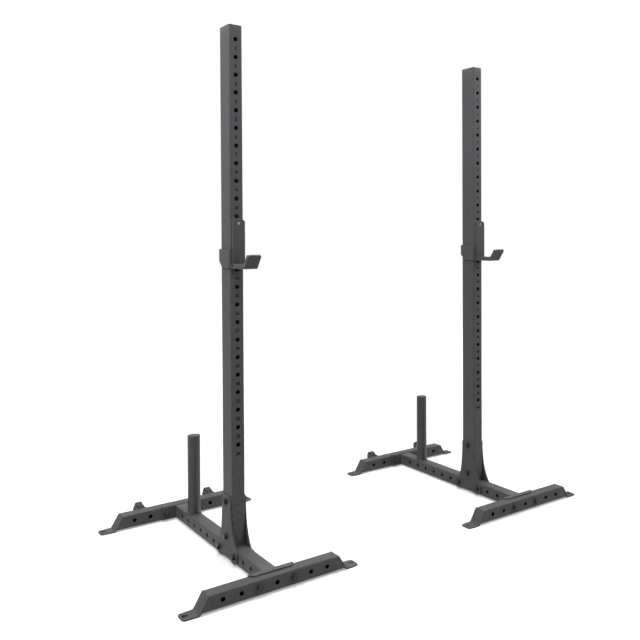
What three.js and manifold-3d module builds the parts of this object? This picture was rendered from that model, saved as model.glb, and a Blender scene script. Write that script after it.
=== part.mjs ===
// A pair of free-standing squat stands, built piece by piece: two numbered uprights on
// H-shaped bases, each with a plate storage post, a pair of gussets and a hook for the bar.
// Millimetres, +Z up. X runs along the bar from the left stand to the right one, -Y is the
// front, where the lifter stands. The origin is on the floor, in the middle of the footprint.

import * as THREE from "three";
import { mergeVertices } from "three/addons/utils/BufferGeometryUtils.js";
import Module from "manifold-3d";

const wasm = await Module();
wasm.setup();

// Driving dimensions: the pair and its clearances
const standSpacing = 1150; // centre to centre of the two uprights
const gap = 0.3; // clearance between pieces that touch or are welded
const runningGap = 1.5; // side clearance of a part that turns or swings
const overrun = 4; // how far a cutter runs past the face that it cuts
const fuse = 0.5; // how far two shapes of one piece run into each other

// Hole pattern, shared by the upright, the base rail and the cross members
const holePitch = 62.5;
const holeDiameter = 16;

// Upright: a rectangular tube with numbered holes front and back
const uprightWidth = 50;
const uprightDepth = 80;
const uprightLength = 1848;
const uprightHoles = 24;
const uprightTopMargin = 48;
const tubeWall = 3;
const tubeCorner = 6;
const capFlange = 3;
const capSkirt = 18;
const capWall = 2.5;
const capCorner = 2.5;

// Base: a rail from front to back between two cross members, held off the floor by its feet
const baseLift = 6;
const baseTubeHeight = 50;
const baseTubeCorner = 4;
const railWidth = 50;
const railFrontReach = 278;
const railRearReach = 510;
const railHolesFront = 4;
const railHolesRear = 7;
const crossDepth = 50;
const crossTopLength = 456;
const crossSlopeRun = 30;
const crossHolesEachSide = 3;
const baseBoltStep = 1; // base bolts sit this many holes from the middle
const flangeWidth = 160;
const flangeThickness = 5;
const flangeRise = 5;
const flangeCorner = 8;
const flangeLipReach = 21; // how far the flange folds over the cross member
const flangeLipCornerRun = 17;
const flangeLipCornerReach = 12;

// Foot plates: bent plates that close the sloped ends and lie on the floor as bolt-down tabs
const footThickness = 5;
const footWidth = 54;
const footBend = 8;
const tabReach = 58;
const tabCorner = 15;
const slotWidth = 11;
const slotLength = 19;
const slotInset = 17;

// Gussets: one plate on each side of the upright
const gussetThickness = 5;
const gussetBoltRise = 31.25;
const gussetBoltSteps = 2;
const gussetTopMargin = 22;
const gussetNeckWidth = 72;
const gussetTopCorner = 14;
const gussetLobe = 25;
const gussetFrontShoulder = 11; // where the front flare ends, below the top of the rail
const gussetRearShoulder = 21;
const gussetFlareDrop = 38;
const gussetFrontWaistRise = 32;
const gussetFrontWaistGrowth = 6;
const gussetRearWaistDrop = 11;
const gussetRearWaistGrowth = 4;
const gussetArch = 12;

// Bolts: hexagon heads and nuts on round washers
const boltDiameter = 12;
const headAcrossFlats = 19;
const headHeight = 8;
const nutHeight = 10;
const washerDiameter = 24;
const washerThickness = 2.5;
const boltTail = 4;

// Plate storage post
const postDiameter = 48.3;
const postWall = 3;
const postLength = 309;
const postSteps = 6; // holes behind the middle of the upright
const postCapFlange = 3;
const postCapSkirt = 16;

// Hook for the bar: heights are measured from the axis of its pin
const hookHole = 12; // the number of the hole that the pin sits in
const hookPinDiameter = 15;
const hookPinReach = 34;
const hookSteel = 6;
const hookBend = 4;
const hookWidth = 50;
const hookTop = 55;
const hookTopChamfer = 8;
const hookWingTop = -54;
const hookWingBottom = -121;
const hookWingReach = 80;
const hookWingChamfer = 25;
const hookSeatBottom = -121;
const hookSeatReach = 110;
const hookLipRise = 46;
const hookLipLean = 34;
const hookLipChamfer = 6;
const backLinerThickness = 12;
const backLinerInset = 3;
const backLinerSideInset = 2;
const backLinerChamfer = 8;
const seatLinerThickness = 10;
const lipLinerThickness = 8;
const lipLinerInset = 3;
const seatLinerInset = 1;

// Transport wheels behind the rear cross member
const wheelDiameter = 50;
const wheelWidth = 24;
const wheelTyreCorner = 4;
const wheelRise = 47;
const wheelOffset = 146;
const wheelClearance = 3;
const axleDiameter = 10;
const axleHeadDiameter = 17;
const axleHeadHeight = 5;
const wheelFitGap = 0.4;
const bracketThickness = 3.5;
const bracketEarRadius = 13;
const bracketFoot = 40;
const bracketHeight = 42;

// How finely round shapes are cut
const holeFacets = 8;
const pinFacets = 12;
const shankFacets = 8;
const postFacets = 20;
const wheelFacets = 20;
const cornerFacets = 1;
const curveFacets = 2;
const gussetFacets = 4;
const hexFacets = 6;

// Levels and faces that follow from the sizes above; the feet stand on the floor
const railTop = baseLift + baseTubeHeight;
const baseMiddle = baseLift + baseTubeHeight / 2;
const uprightBottom = railTop + gap;
const uprightTop = uprightBottom + uprightLength;
const firstHole = uprightTop - uprightTopMargin;
const holeRadius = holeDiameter / 2;
const frontFlangeY = -railFrontReach - gap - flangeThickness / 2;
const rearFlangeY = railRearReach + gap + flangeThickness / 2;
const frontCrossY = -railFrontReach - gap - flangeThickness - gap - crossDepth / 2;
const rearCrossY = railRearReach + gap + flangeThickness + gap + crossDepth / 2;
const gussetX = uprightWidth / 2 + gap + gussetThickness / 2;
const lowerGussetBolt = railTop + gussetBoltRise;
const upperGussetBolt = lowerGussetBolt + gussetBoltSteps * holePitch;
const crossTopHalf = crossTopLength / 2;
const crossBottomHalf = crossTopHalf + crossSlopeRun;
const footTip = crossBottomHalf + tabReach;
const hookAxis = firstHole - (hookHole - 1) * holePitch;
const wheelRadius = wheelDiameter / 2;
const wheelY = rearCrossY + crossDepth / 2 + gap + bracketThickness + wheelClearance + wheelRadius;
const boltStandOut = gap + washerThickness + headHeight;
const footprintFront = frontCrossY - crossDepth / 2 - boltStandOut;
const footprintRear = wheelY + wheelRadius;

// Finishes
const powderCoat = new THREE.MeshStandardMaterial({ color: 0x37383a, roughness: 0.62, metalness: 0.25 });
const blackPlastic = new THREE.MeshStandardMaterial({ color: 0x1b1b1c, roughness: 0.5, metalness: 0 });
const blackSteel = new THREE.MeshStandardMaterial({ color: 0x232325, roughness: 0.45, metalness: 0.7 });
const wheelRubber = new THREE.MeshStandardMaterial({ color: 0x1c1c1d, roughness: 0.8, metalness: 0 });

// Solids: a closed geometry becomes a solid for cutting and joining, and a solid a geometry again

function toSolid(geometry) {
  const bare = geometry.clone();
  bare.deleteAttribute("normal");
  bare.deleteAttribute("uv");
  const merged = mergeVertices(bare);
  const corners = merged.index.array;
  const kept = [];
  for (let i = 0; i < corners.length; i += 3) {
    const [a, b, c] = [corners[i], corners[i + 1], corners[i + 2]];
    if (a !== b && b !== c && c !== a) kept.push(a, b, c);
  }
  const vertProperties = new Float32Array(merged.attributes.position.array);
  const triVerts = new Uint32Array(kept);
  return new wasm.Manifold(new wasm.Mesh({ numProp: 3, vertProperties, triVerts }));
}

function toGeometry(solid) {
  const mesh = solid.getMesh();
  const geometry = new THREE.BufferGeometry();
  geometry.setAttribute("position", new THREE.BufferAttribute(mesh.vertProperties, 3));
  geometry.setIndex(new THREE.BufferAttribute(mesh.triVerts, 1));
  geometry.computeVertexNormals();
  return geometry;
}

function joined(solids) {
  return solids.reduce((whole, next) => whole.add(next));
}

function cut(solid, cutters) {
  return solid.subtract(joined(cutters));
}

// Outlines extruded along each axis, with their middle on the plane of the other two

function extrudeZ(shape, length, facets = curveFacets) {
  const geometry = new THREE.ExtrudeGeometry(shape, {
    depth: length,
    bevelEnabled: false,
    curveSegments: facets,
  });
  return geometry.translate(0, 0, -length / 2);
}

// The outline's first axis is Y and its second is Z
function extrudeX(shape, length, facets = curveFacets) {
  const turn = new THREE.Matrix4().set(0, 0, 1, 0, 1, 0, 0, 0, 0, 1, 0, 0, 0, 0, 0, 1);
  return extrudeZ(shape, length, facets).applyMatrix4(turn);
}

// The outline's first axis is X and its second is Z
function extrudeY(shape, length) {
  return extrudeZ(shape, length).rotateX(Math.PI / 2);
}

function box(width, depth, height) {
  return new THREE.BoxGeometry(width, depth, height);
}

function rodX(diameter, length, facets) {
  return new THREE.CylinderGeometry(diameter / 2, diameter / 2, length, facets).rotateZ(Math.PI / 2);
}

function rodY(diameter, length, facets) {
  return new THREE.CylinderGeometry(diameter / 2, diameter / 2, length, facets);
}

// The cutter for a hole: its flats, not its corners, lie at the radius of the hole
function drillX(length) {
  return rodX(holeDiameter / Math.cos(Math.PI / holeFacets), length, holeFacets);
}

function drillY(length) {
  return rodY(holeDiameter / Math.cos(Math.PI / holeFacets), length, holeFacets);
}

// A rectangle with round corners, walked anticlockwise
function roundRectangle(target, width, height, radius) {
  const x = width / 2 - radius;
  const y = height / 2 - radius;
  const quarter = Math.PI / 2;
  target.moveTo(x, -height / 2);
  target.absarc(x, -y, radius, -quarter, 0, false);
  target.absarc(x, y, radius, 0, quarter, false);
  target.absarc(-x, y, radius, quarter, 2 * quarter, false);
  target.absarc(-x, -y, radius, 2 * quarter, 3 * quarter, false);
  target.closePath();
  return target;
}

function chamferedRectangle(left, right, bottom, top, chamfer) {
  const shape = new THREE.Shape();
  shape.moveTo(left, bottom);
  shape.lineTo(right, bottom);
  shape.lineTo(right, top - chamfer);
  shape.lineTo(right - chamfer, top);
  shape.lineTo(left + chamfer, top);
  shape.lineTo(left, top - chamfer);
  shape.closePath();
  return shape;
}

// A square tube standing on its end, with round corners and an open bore
function tube(width, depth, length, corner) {
  const shape = roundRectangle(new THREE.Shape(), width, depth, corner);
  const inner = corner - tubeWall;
  shape.holes.push(roundRectangle(new THREE.Path(), width - 2 * tubeWall, depth - 2 * tubeWall, inner));
  return extrudeZ(shape, length, cornerFacets);
}

// The outline of a bent plate: its left face follows the path, and its corners are round
function bentPlate(path, thickness, bend) {
  const points = path.map(([x, y]) => new THREE.Vector2(x, y));
  const headings = points.slice(1).map((p, i) => p.clone().sub(points[i]).normalize());
  const rights = headings.map((h) => new THREE.Vector2(h.y, -h.x));
  const offset = points.map((p, i) => {
    const before = rights[Math.max(i - 1, 0)];
    const after = rights[Math.min(i, rights.length - 1)];
    const reach = thickness / (1 + before.dot(after));
    return p.clone().add(before.clone().add(after).multiplyScalar(reach));
  });
  const turns = headings.slice(1).map((h, i) => headings[i].cross(h));
  const shape = new THREE.Shape();
  followFace(shape, points, turns.map((t) => (t > 0 ? bend : bend + thickness)));
  followFace(shape, offset.reverse(), turns.map((t) => (t > 0 ? bend + thickness : bend)).reverse());
  shape.closePath();
  return shape;
}

// One face of a bent plate: straight runs, with an arc of the given radius at each bend
function followFace(shape, points, radii) {
  const first = points[0];
  if (shape.curves.length === 0) shape.moveTo(first.x, first.y);
  else shape.lineTo(first.x, first.y);
  for (let i = 1; i < points.length - 1; i += 1) {
    const into = points[i].clone().sub(points[i - 1]).normalize();
    const out = points[i + 1].clone().sub(points[i]).normalize();
    const turn = Math.atan2(into.cross(out), into.dot(out));
    const radius = radii[i - 1];
    const start = points[i].clone().addScaledVector(into, -radius * Math.tan(Math.abs(turn) / 2));
    const side = new THREE.Vector2(-into.y, into.x).multiplyScalar(Math.sign(turn));
    const centre = start.clone().addScaledVector(side, radius);
    const from = Math.atan2(start.y - centre.y, start.x - centre.x);
    shape.lineTo(centre.x + radius * Math.cos(from), centre.y + radius * Math.sin(from));
    shape.absarc(centre.x, centre.y, radius, from, from + turn, turn < 0);
  }
  const last = points[points.length - 1];
  shape.lineTo(last.x, last.y);
}

// Upright

function uprightHoleHeights() {
  return Array.from({ length: uprightHoles }, (_, i) => firstHole - i * holePitch - uprightBottom);
}

function uprightGeometry() {
  const body = toSolid(tube(uprightWidth, uprightDepth, uprightLength, tubeCorner).translate(0, 0, uprightLength / 2));
  const through = drillY(uprightDepth + 2 * overrun);
  const across = drillX(uprightWidth + 2 * overrun);
  const cutters = uprightHoleHeights().map((z) => toSolid(through.clone().translate(0, 0, z)));
  for (const z of [lowerGussetBolt, upperGussetBolt]) {
    cutters.push(toSolid(across.clone().translate(0, 0, z - uprightBottom)));
  }
  return toGeometry(cut(body, cutters));
}

// A plug for a tube end: a thin lid with a hollow skirt that goes into the bore
function plug(lid, skirtOutline, skirtBore, lidThickness, skirtDepth) {
  const skirtShape = skirtOutline;
  skirtShape.holes.push(skirtBore);
  const top = toSolid(extrudeZ(lid, lidThickness).translate(0, 0, lidThickness / 2));
  const skirtLength = skirtDepth + fuse;
  const skirt = toSolid(extrudeZ(skirtShape, skirtLength).translate(0, 0, fuse - skirtLength / 2));
  return toGeometry(joined([top, skirt]));
}

function uprightCapGeometry() {
  const boreWidth = uprightWidth - 2 * (tubeWall + gap);
  const boreDepth = uprightDepth - 2 * (tubeWall + gap);
  const lid = roundRectangle(new THREE.Shape(), uprightWidth, uprightDepth, tubeCorner);
  const skirt = roundRectangle(new THREE.Shape(), boreWidth, boreDepth, capCorner);
  const hollow = new THREE.Path();
  roundRectangle(hollow, boreWidth - 2 * capWall, boreDepth - 2 * capWall, capCorner / 2);
  return plug(lid, skirt, hollow, capFlange, capSkirt);
}

// Base rail, from the front flange to the rear one, with holes through its sides

function railGeometry() {
  const length = railFrontReach + railRearReach;
  const middle = (railRearReach - railFrontReach) / 2;
  const standing = tube(railWidth, baseTubeHeight, length, baseTubeCorner);
  const body = toSolid(standing.rotateX(Math.PI / 2).translate(0, middle, 0));
  const across = drillX(railWidth + 2 * overrun);
  const cutters = [];
  for (let step = -railHolesFront; step <= railHolesRear; step += 1) {
    if (step !== 0) cutters.push(toSolid(across.clone().translate(0, step * holePitch, 0)));
  }
  return toGeometry(cut(body, cutters));
}

// Flange welded to each end of the rail: a plate with two bolt holes and a lip that folds over
// the cross member. Its lip reaches towards -Y.

function flangeGeometry() {
  const side = flangeWidth / 2;
  const top = baseTubeHeight / 2 + flangeRise;
  const outline = chamferedRectangle(-side, side, -top, baseTubeHeight / 2, flangeCorner);
  const upright = toSolid(extrudeY(outline, flangeThickness).rotateY(Math.PI));
  const rear = flangeThickness / 2;
  const front = -rear - flangeLipReach;
  const lip = new THREE.Shape();
  lip.moveTo(-side, rear);
  lip.lineTo(-side, front + flangeLipCornerReach);
  lip.lineTo(flangeLipCornerRun - side, front);
  lip.lineTo(side - flangeLipCornerRun, front);
  lip.lineTo(side, front + flangeLipCornerReach);
  lip.lineTo(side, rear);
  lip.closePath();
  const lipThickness = flangeRise - gap;
  const plate = upright.add(toSolid(extrudeZ(lip, lipThickness).translate(0, 0, top - lipThickness / 2)));
  const hole = drillY(flangeThickness + 2 * overrun);
  const cutters = [-1, 1].map((side) => {
    return toSolid(hole.clone().translate(side * baseBoltStep * holePitch, 0, 0));
  });
  return toGeometry(cut(plate, cutters));
}

// Cross member: a tube along X with sloped ends and seven holes through front and back

function crossMemberGeometry() {
  const half = baseTubeHeight / 2;
  const length = 2 * (crossBottomHalf + overrun);
  const long = tube(baseTubeHeight, crossDepth, length, baseTubeCorner).rotateY(Math.PI / 2);
  const slope = new THREE.Shape();
  slope.moveTo(-crossBottomHalf, -half);
  slope.lineTo(crossBottomHalf, -half);
  slope.lineTo(crossTopHalf, half);
  slope.lineTo(-crossTopHalf, half);
  slope.closePath();
  const wedge = toSolid(extrudeY(slope, crossDepth + 2 * overrun));
  const through = drillY(crossDepth + 2 * overrun);
  const cutters = [];
  for (let step = -crossHolesEachSide; step <= crossHolesEachSide; step += 1) {
    cutters.push(toSolid(through.clone().translate(step * holePitch, 0, 0)));
  }
  return toGeometry(cut(toSolid(long).intersect(wedge), cutters));
}

// Foot plate: lies on the sloped end of a cross member, flush with its top, then runs out on the
// floor as a tab.
// Its own origin is on the floor in the middle of the cross member, and it reaches towards +X.

function footPlateGeometry() {
  const length = Math.hypot(crossSlopeRun, baseTubeHeight);
  const outward = baseTubeHeight / length;
  const standOff = gap + footThickness;
  const slopeRate = crossSlopeRun / baseTubeHeight;
  const outerFace = (z) => crossBottomHalf + standOff / outward - slopeRate * (z - baseLift);
  const path = [
    [outerFace(railTop + overrun), railTop + overrun],
    [outerFace(footThickness), footThickness],
    [footTip, footThickness],
  ];
  const bent = toSolid(extrudeY(bentPlate(path, footThickness, footBend), footWidth));
  const start = crossTopHalf - overrun;
  const plan = new THREE.Shape();
  const half = footWidth / 2;
  plan.moveTo(start, -half);
  plan.lineTo(footTip - tabCorner, -half);
  plan.absarc(footTip - tabCorner, -half + tabCorner, tabCorner, -Math.PI / 2, 0, false);
  plan.absarc(footTip - tabCorner, half - tabCorner, tabCorner, 0, Math.PI / 2, false);
  plan.lineTo(start, half);
  plan.closePath();
  const slot = roundRectangle(new THREE.Path(), slotLength, slotWidth, slotWidth / 2);
  const trimmed = bent.intersect(toSolid(extrudeZ(plan, 2 * railTop)));
  const slotShape = new THREE.Shape(slot.getPoints(curveFacets));
  const cutter = extrudeZ(slotShape, 2 * standOff).translate(footTip - slotInset, 0, 0);
  return toGeometry(trimmed.subtract(toSolid(cutter)));
}

// Gusset: narrow at the top, flared to a foot with a round lobe under each rail bolt.
// The front flare starts higher than the rear one.

function gussetGeometry() {
  const neck = gussetNeckWidth / 2;
  const lobeY = holePitch;
  const footHalf = lobeY + gussetLobe;
  const top = upperGussetBolt + gussetTopMargin;
  const flare = top - gussetFlareDrop;
  const frontShoulder = railTop - gussetFrontShoulder;
  const rearShoulder = railTop - gussetRearShoulder;
  const frontWaist = railTop + gussetFrontWaistRise;
  const rearWaist = railTop - gussetRearWaistDrop;
  const frontWaistHalf = neck + gussetFrontWaistGrowth;
  const rearWaistHalf = neck + gussetRearWaistGrowth;
  const archY = lobeY - gussetLobe;
  const archZ = baseMiddle - gussetLobe + gussetArch;
  const shape = new THREE.Shape();
  shape.moveTo(neck, flare);
  shape.lineTo(neck, top - gussetTopCorner);
  shape.absarc(neck - gussetTopCorner, top - gussetTopCorner, gussetTopCorner, 0, Math.PI / 2, false);
  shape.absarc(gussetTopCorner - neck, top - gussetTopCorner, gussetTopCorner, Math.PI / 2, Math.PI, false);
  shape.lineTo(-neck, flare);
  shape.quadraticCurveTo(-frontWaistHalf, frontWaist, -footHalf, frontShoulder);
  shape.absarc(-lobeY, baseMiddle, gussetLobe, Math.PI, 1.5 * Math.PI, false);
  shape.quadraticCurveTo(-archY, baseMiddle - gussetLobe, 0, archZ);
  shape.quadraticCurveTo(archY, baseMiddle - gussetLobe, lobeY, baseMiddle - gussetLobe);
  shape.absarc(lobeY, baseMiddle, gussetLobe, 1.5 * Math.PI, 2 * Math.PI, false);
  shape.lineTo(footHalf, rearShoulder);
  shape.quadraticCurveTo(rearWaistHalf, rearWaist, neck, flare);
  const plate = toSolid(extrudeX(shape, gussetThickness, gussetFacets));
  const hole = drillX(gussetThickness + 2 * overrun);
  const places = [
    [0, upperGussetBolt],
    [0, lowerGussetBolt],
    [-holePitch, baseMiddle],
    [holePitch, baseMiddle],
  ];
  return toGeometry(cut(plate, places.map(([y, z]) => toSolid(hole.clone().translate(0, y, z)))));
}

// Bolt with its washers and nut, along +X from the face under the head at the origin

function hexagon(height) {
  const radius = headAcrossFlats / Math.sqrt(3);
  return new THREE.CylinderGeometry(radius, radius, height, hexFacets);
}

function boltGeometry(grip) {
  const washerRadius = washerDiameter / 2;
  const washer = new THREE.CylinderGeometry(washerRadius, washerRadius, washerThickness, pinFacets);
  const faceOut = gap + washerThickness;
  const shankLength = grip + 2 * faceOut + nutHeight + boltTail;
  const shank = new THREE.CylinderGeometry(boltDiameter / 2, boltDiameter / 2, shankLength, shankFacets);
  const head = hexagon(headHeight + fuse).translate(0, -faceOut - (headHeight - fuse) / 2, 0);
  const nut = hexagon(nutHeight + fuse).translate(0, grip + faceOut + (nutHeight - fuse) / 2, 0);
  const nearWasher = washer.clone().translate(0, -gap - washerThickness / 2, 0);
  const farWasher = washer.clone().translate(0, grip + gap + washerThickness / 2, 0);
  shank.translate(0, shankLength / 2 - faceOut, 0);
  const solid = joined([shank, head, nut, nearWasher, farWasher].map(toSolid));
  return toGeometry(solid).rotateZ(-Math.PI / 2);
}

// Plate storage post with its cap

function postGeometry() {
  const outer = new THREE.Shape().absarc(0, 0, postDiameter / 2, 0, 2 * Math.PI, false);
  const bore = new THREE.Path().absarc(0, 0, postDiameter / 2 - postWall, 0, 2 * Math.PI, false);
  outer.holes.push(bore);
  const standing = extrudeZ(outer, postLength, postFacets / 2).translate(0, 0, postLength / 2);
  return toGeometry(toSolid(standing));
}

function postCapGeometry() {
  const bore = postDiameter / 2 - postWall - gap;
  const lid = postDiameter / 2;
  const profile = [
    [0, 0],
    [bore - capWall, 0],
    [bore - capWall, -postCapSkirt],
    [bore, -postCapSkirt],
    [bore, 0],
    [lid, 0],
    [lid, postCapFlange / 2],
    [lid - postCapFlange / 2, postCapFlange],
    [0, postCapFlange],
  ].map(([r, h]) => new THREE.Vector2(r, h));
  return toGeometry(toSolid(new THREE.LatheGeometry(profile, postFacets).rotateX(Math.PI / 2)));
}

// Hook: its origin is on the axis of its pin, in the plane of the upright's front face

function hookBracketGeometry() {
  const rear = -gap;
  const front = rear - hookSteel;
  const half = hookWidth / 2;
  const seatPath = [
    [rear, hookWingTop],
    [rear, hookSeatBottom],
    [-hookSeatReach, hookSeatBottom],
    [-hookSeatReach - hookLipLean, hookSeatBottom + hookLipRise],
  ];
  const seat = toSolid(extrudeX(bentPlate(seatPath, hookSteel, hookBend), hookWidth));
  const lipTop = hookSeatBottom + hookLipRise + hookSteel;
  const lipMask = chamferedRectangle(-half, half, hookSeatBottom - overrun, lipTop, hookLipChamfer);
  const maskDepth = hookSeatReach + hookLipLean + hookSteel + overrun;
  const mask = toSolid(extrudeY(lipMask, maskDepth).translate(0, overrun - maskDepth / 2, 0));
  const backShape = chamferedRectangle(-half, half, hookSeatBottom + hookSteel, hookTop, hookTopChamfer);
  const back = toSolid(extrudeY(backShape, hookSteel).translate(0, (rear + front) / 2, 0));
  const side = uprightWidth / 2 + runningGap + hookSteel;
  const wingPath = [
    [half, front],
    [-side, front],
    [-side, front + hookWingReach + hookSteel],
  ];
  const wingHeight = hookWingTop - hookWingBottom;
  const wingMiddle = (hookWingTop + hookWingBottom) / 2;
  const wingBent = extrudeZ(bentPlate(wingPath, hookSteel, hookBend), wingHeight).translate(0, 0, wingMiddle);
  const reach = front + hookWingReach + hookSteel;
  const wingMask = new THREE.Shape();
  wingMask.moveTo(front - overrun, hookWingBottom);
  wingMask.lineTo(reach - hookWingChamfer, hookWingBottom);
  wingMask.lineTo(reach, hookWingBottom + hookWingChamfer);
  wingMask.lineTo(reach, hookWingTop);
  wingMask.lineTo(front - overrun, hookWingTop);
  wingMask.closePath();
  const wing = toSolid(wingBent).intersect(toSolid(extrudeX(wingMask, 2 * (side + overrun))));
  const pinLength = hookPinReach + hookSteel;
  const pin = toSolid(rodY(hookPinDiameter, pinLength, pinFacets).translate(0, hookPinReach - pinLength / 2, 0));
  return toGeometry(joined([seat.intersect(mask), back, wing, pin]));
}

function backLinerGeometry() {
  const half = hookWidth / 2 - backLinerSideInset;
  const bottom = hookSeatBottom + hookSteel + hookBend;
  const outline = chamferedRectangle(-half, half, bottom, hookTop - backLinerInset, backLinerChamfer);
  const middle = -gap - hookSteel - gap - backLinerThickness / 2;
  return toGeometry(toSolid(extrudeY(outline, backLinerThickness).translate(0, middle, 0)));
}

// The seat liner covers the shelf and the inside of the lip, one bent piece of plastic
function seatLinerGeometry() {
  const rise = hookLipRise + hookSteel;
  const lean = Math.hypot(hookLipRise, hookLipLean);
  const shelfTop = hookSeatBottom + hookSteel + gap;
  const shelfBack = -gap - hookSteel - gap - backLinerThickness - gap;
  const lipInside = (z) => {
    const outer = -hookSeatReach - (hookLipLean * (z - hookSeatBottom)) / hookLipRise;
    return outer + ((hookSteel + gap) * lean) / hookLipRise;
  };
  const top = hookSeatBottom + rise - lipLinerInset;
  const across = (lipLinerThickness * lean) / hookLipRise;
  const shelf = shelfTop + seatLinerThickness;
  const shape = new THREE.Shape();
  shape.moveTo(shelfBack, shelfTop);
  shape.lineTo(shelfBack, shelf);
  shape.lineTo(lipInside(shelf) + across + hookBend, shelf);
  shape.quadraticCurveTo(lipInside(shelf) + across, shelf, lipInside(shelf + hookBend) + across, shelf + hookBend);
  shape.lineTo(lipInside(top) + across, top);
  shape.lineTo(lipInside(top), top);
  shape.lineTo(lipInside(shelfTop + hookBend), shelfTop + hookBend);
  shape.lineTo(lipInside(shelfTop) + hookBend, shelfTop);
  shape.closePath();
  return toGeometry(toSolid(extrudeX(shape, hookWidth - 2 * seatLinerInset)));
}

// Transport wheel and its forked bracket; both have their origin on the axle

function wheelGeometry() {
  const half = wheelWidth / 2;
  const bore = axleDiameter / 2 + wheelFitGap;
  const profile = [
    [bore, -half],
    [wheelRadius - wheelTyreCorner, -half],
    [wheelRadius, wheelTyreCorner - half],
    [wheelRadius, half - wheelTyreCorner],
    [wheelRadius - wheelTyreCorner, half],
    [bore, half],
    [bore, -half],
  ].map(([r, h]) => new THREE.Vector2(r, h));
  return toGeometry(toSolid(new THREE.LatheGeometry(profile, wheelFacets).rotateZ(-Math.PI / 2)));
}

function wheelBracketGeometry() {
  const earX = wheelWidth / 2 + runningGap + bracketThickness / 2;
  const back = -(wheelRadius + wheelClearance + bracketThickness);
  const top = railTop - wheelRise;
  const bottom = top - bracketHeight;
  const ear = new THREE.Shape();
  ear.moveTo(back, bottom);
  ear.lineTo(back + bracketThickness, bottom);
  ear.lineTo(0, -bracketEarRadius);
  ear.absarc(0, 0, bracketEarRadius, -Math.PI / 2, Math.PI / 2, false);
  ear.lineTo(back, top);
  ear.closePath();
  const ears = [-1, 1].map((side) => toSolid(extrudeX(ear, bracketThickness).translate(side * earX, 0, 0)));
  const foot = box(bracketFoot, bracketThickness, bracketHeight);
  foot.translate(0, back + bracketThickness / 2, (top + bottom) / 2);
  const span = 2 * (earX + bracketThickness / 2);
  const axle = rodX(axleDiameter, span + 2 * fuse, shankFacets);
  const head = rodX(axleHeadDiameter, axleHeadHeight, hexFacets);
  const headX = span / 2 + axleHeadHeight / 2 - fuse;
  const heads = [-1, 1].map((side) => toSolid(head.clone().translate(side * headX, 0, 0)));
  return toGeometry(joined([...ears, toSolid(foot), toSolid(axle), ...heads]));
}

// Geometry shared by the two stands

const geometry = {
  upright: uprightGeometry(),
  uprightCap: uprightCapGeometry(),
  rail: railGeometry(),
  flange: flangeGeometry(),
  crossMember: crossMemberGeometry(),
  footPlate: footPlateGeometry(),
  gusset: gussetGeometry(),
  gussetBolt: boltGeometry(uprightWidth + 2 * (gap + gussetThickness)),
  baseBolt: boltGeometry(crossDepth + gap + flangeThickness),
  post: postGeometry(),
  postCap: postCapGeometry(),
  hookBracket: hookBracketGeometry(),
  backLiner: backLinerGeometry(),
  seatLiner: seatLinerGeometry(),
  wheel: wheelGeometry(),
  wheelBracket: wheelBracketGeometry(),
};

// One stand, in its own group with the origin on the floor under the middle of the upright

function piece(group, name, shape, material, x, y, z) {
  const mesh = new THREE.Mesh(shape, material.clone());
  mesh.name = name;
  mesh.position.set(x, y, z);
  group.add(mesh);
  return mesh;
}

function addUpright(stand, side) {
  piece(stand, `${side}_upright`, geometry.upright, powderCoat, 0, 0, uprightBottom);
  piece(stand, `${side}_upright_cap`, geometry.uprightCap, blackPlastic, 0, 0, uprightTop + gap);
}

function addCrossMember(stand, side, end, y, outward) {
  piece(stand, `${side}_${end}_crossmember`, geometry.crossMember, powderCoat, 0, y, baseMiddle);
  piece(stand, `${side}_${end}_foot_plate_1`, geometry.footPlate, powderCoat, 0, y, 0).rotation.z = Math.PI;
  piece(stand, `${side}_${end}_foot_plate_2`, geometry.footPlate, powderCoat, 0, y, 0);
  [-1, 1].forEach((step, i) => {
    const x = step * baseBoltStep * holePitch;
    const face = y + (outward * crossDepth) / 2;
    const bolt = piece(stand, `${side}_${end}_bolt_${i + 1}`, geometry.baseBolt, blackSteel, x, face, baseMiddle);
    bolt.rotation.z = (-outward * Math.PI) / 2;
  });
}

function addBase(stand, side) {
  piece(stand, `${side}_base_rail`, geometry.rail, powderCoat, 0, 0, baseMiddle);
  piece(stand, `${side}_front_flange`, geometry.flange, powderCoat, 0, frontFlangeY, baseMiddle);
  piece(stand, `${side}_rear_flange`, geometry.flange, powderCoat, 0, rearFlangeY, baseMiddle).rotation.z = Math.PI;
  addCrossMember(stand, side, "front", frontCrossY, -1);
  addCrossMember(stand, side, "rear", rearCrossY, 1);
}

function addGussets(stand, side) {
  piece(stand, `${side}_gusset_1`, geometry.gusset, powderCoat, -gussetX, 0, 0);
  piece(stand, `${side}_gusset_2`, geometry.gusset, powderCoat, gussetX, 0, 0);
  const face = -gussetX - gussetThickness / 2;
  const places = [
    [0, upperGussetBolt],
    [0, lowerGussetBolt],
    [-holePitch, baseMiddle],
    [holePitch, baseMiddle],
  ];
  places.forEach(([y, z], i) => {
    piece(stand, `${side}_gusset_bolt_${i + 1}`, geometry.gussetBolt, blackSteel, face, y, z);
  });
}

function addPost(stand, side) {
  const y = postSteps * holePitch;
  piece(stand, `${side}_weight_post`, geometry.post, powderCoat, 0, y, railTop + gap);
  piece(stand, `${side}_weight_post_cap`, geometry.postCap, blackPlastic, 0, y, railTop + gap + postLength + gap);
}

function addHook(stand, side) {
  const hook = new THREE.Group();
  hook.position.set(0, -uprightDepth / 2, hookAxis);
  piece(hook, `${side}_jcup_bracket`, geometry.hookBracket, powderCoat, 0, 0, 0);
  piece(hook, `${side}_jcup_back_liner`, geometry.backLiner, blackPlastic, 0, 0, 0);
  piece(hook, `${side}_jcup_seat_liner`, geometry.seatLiner, blackPlastic, 0, 0, 0);
  stand.add(hook);
}

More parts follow.
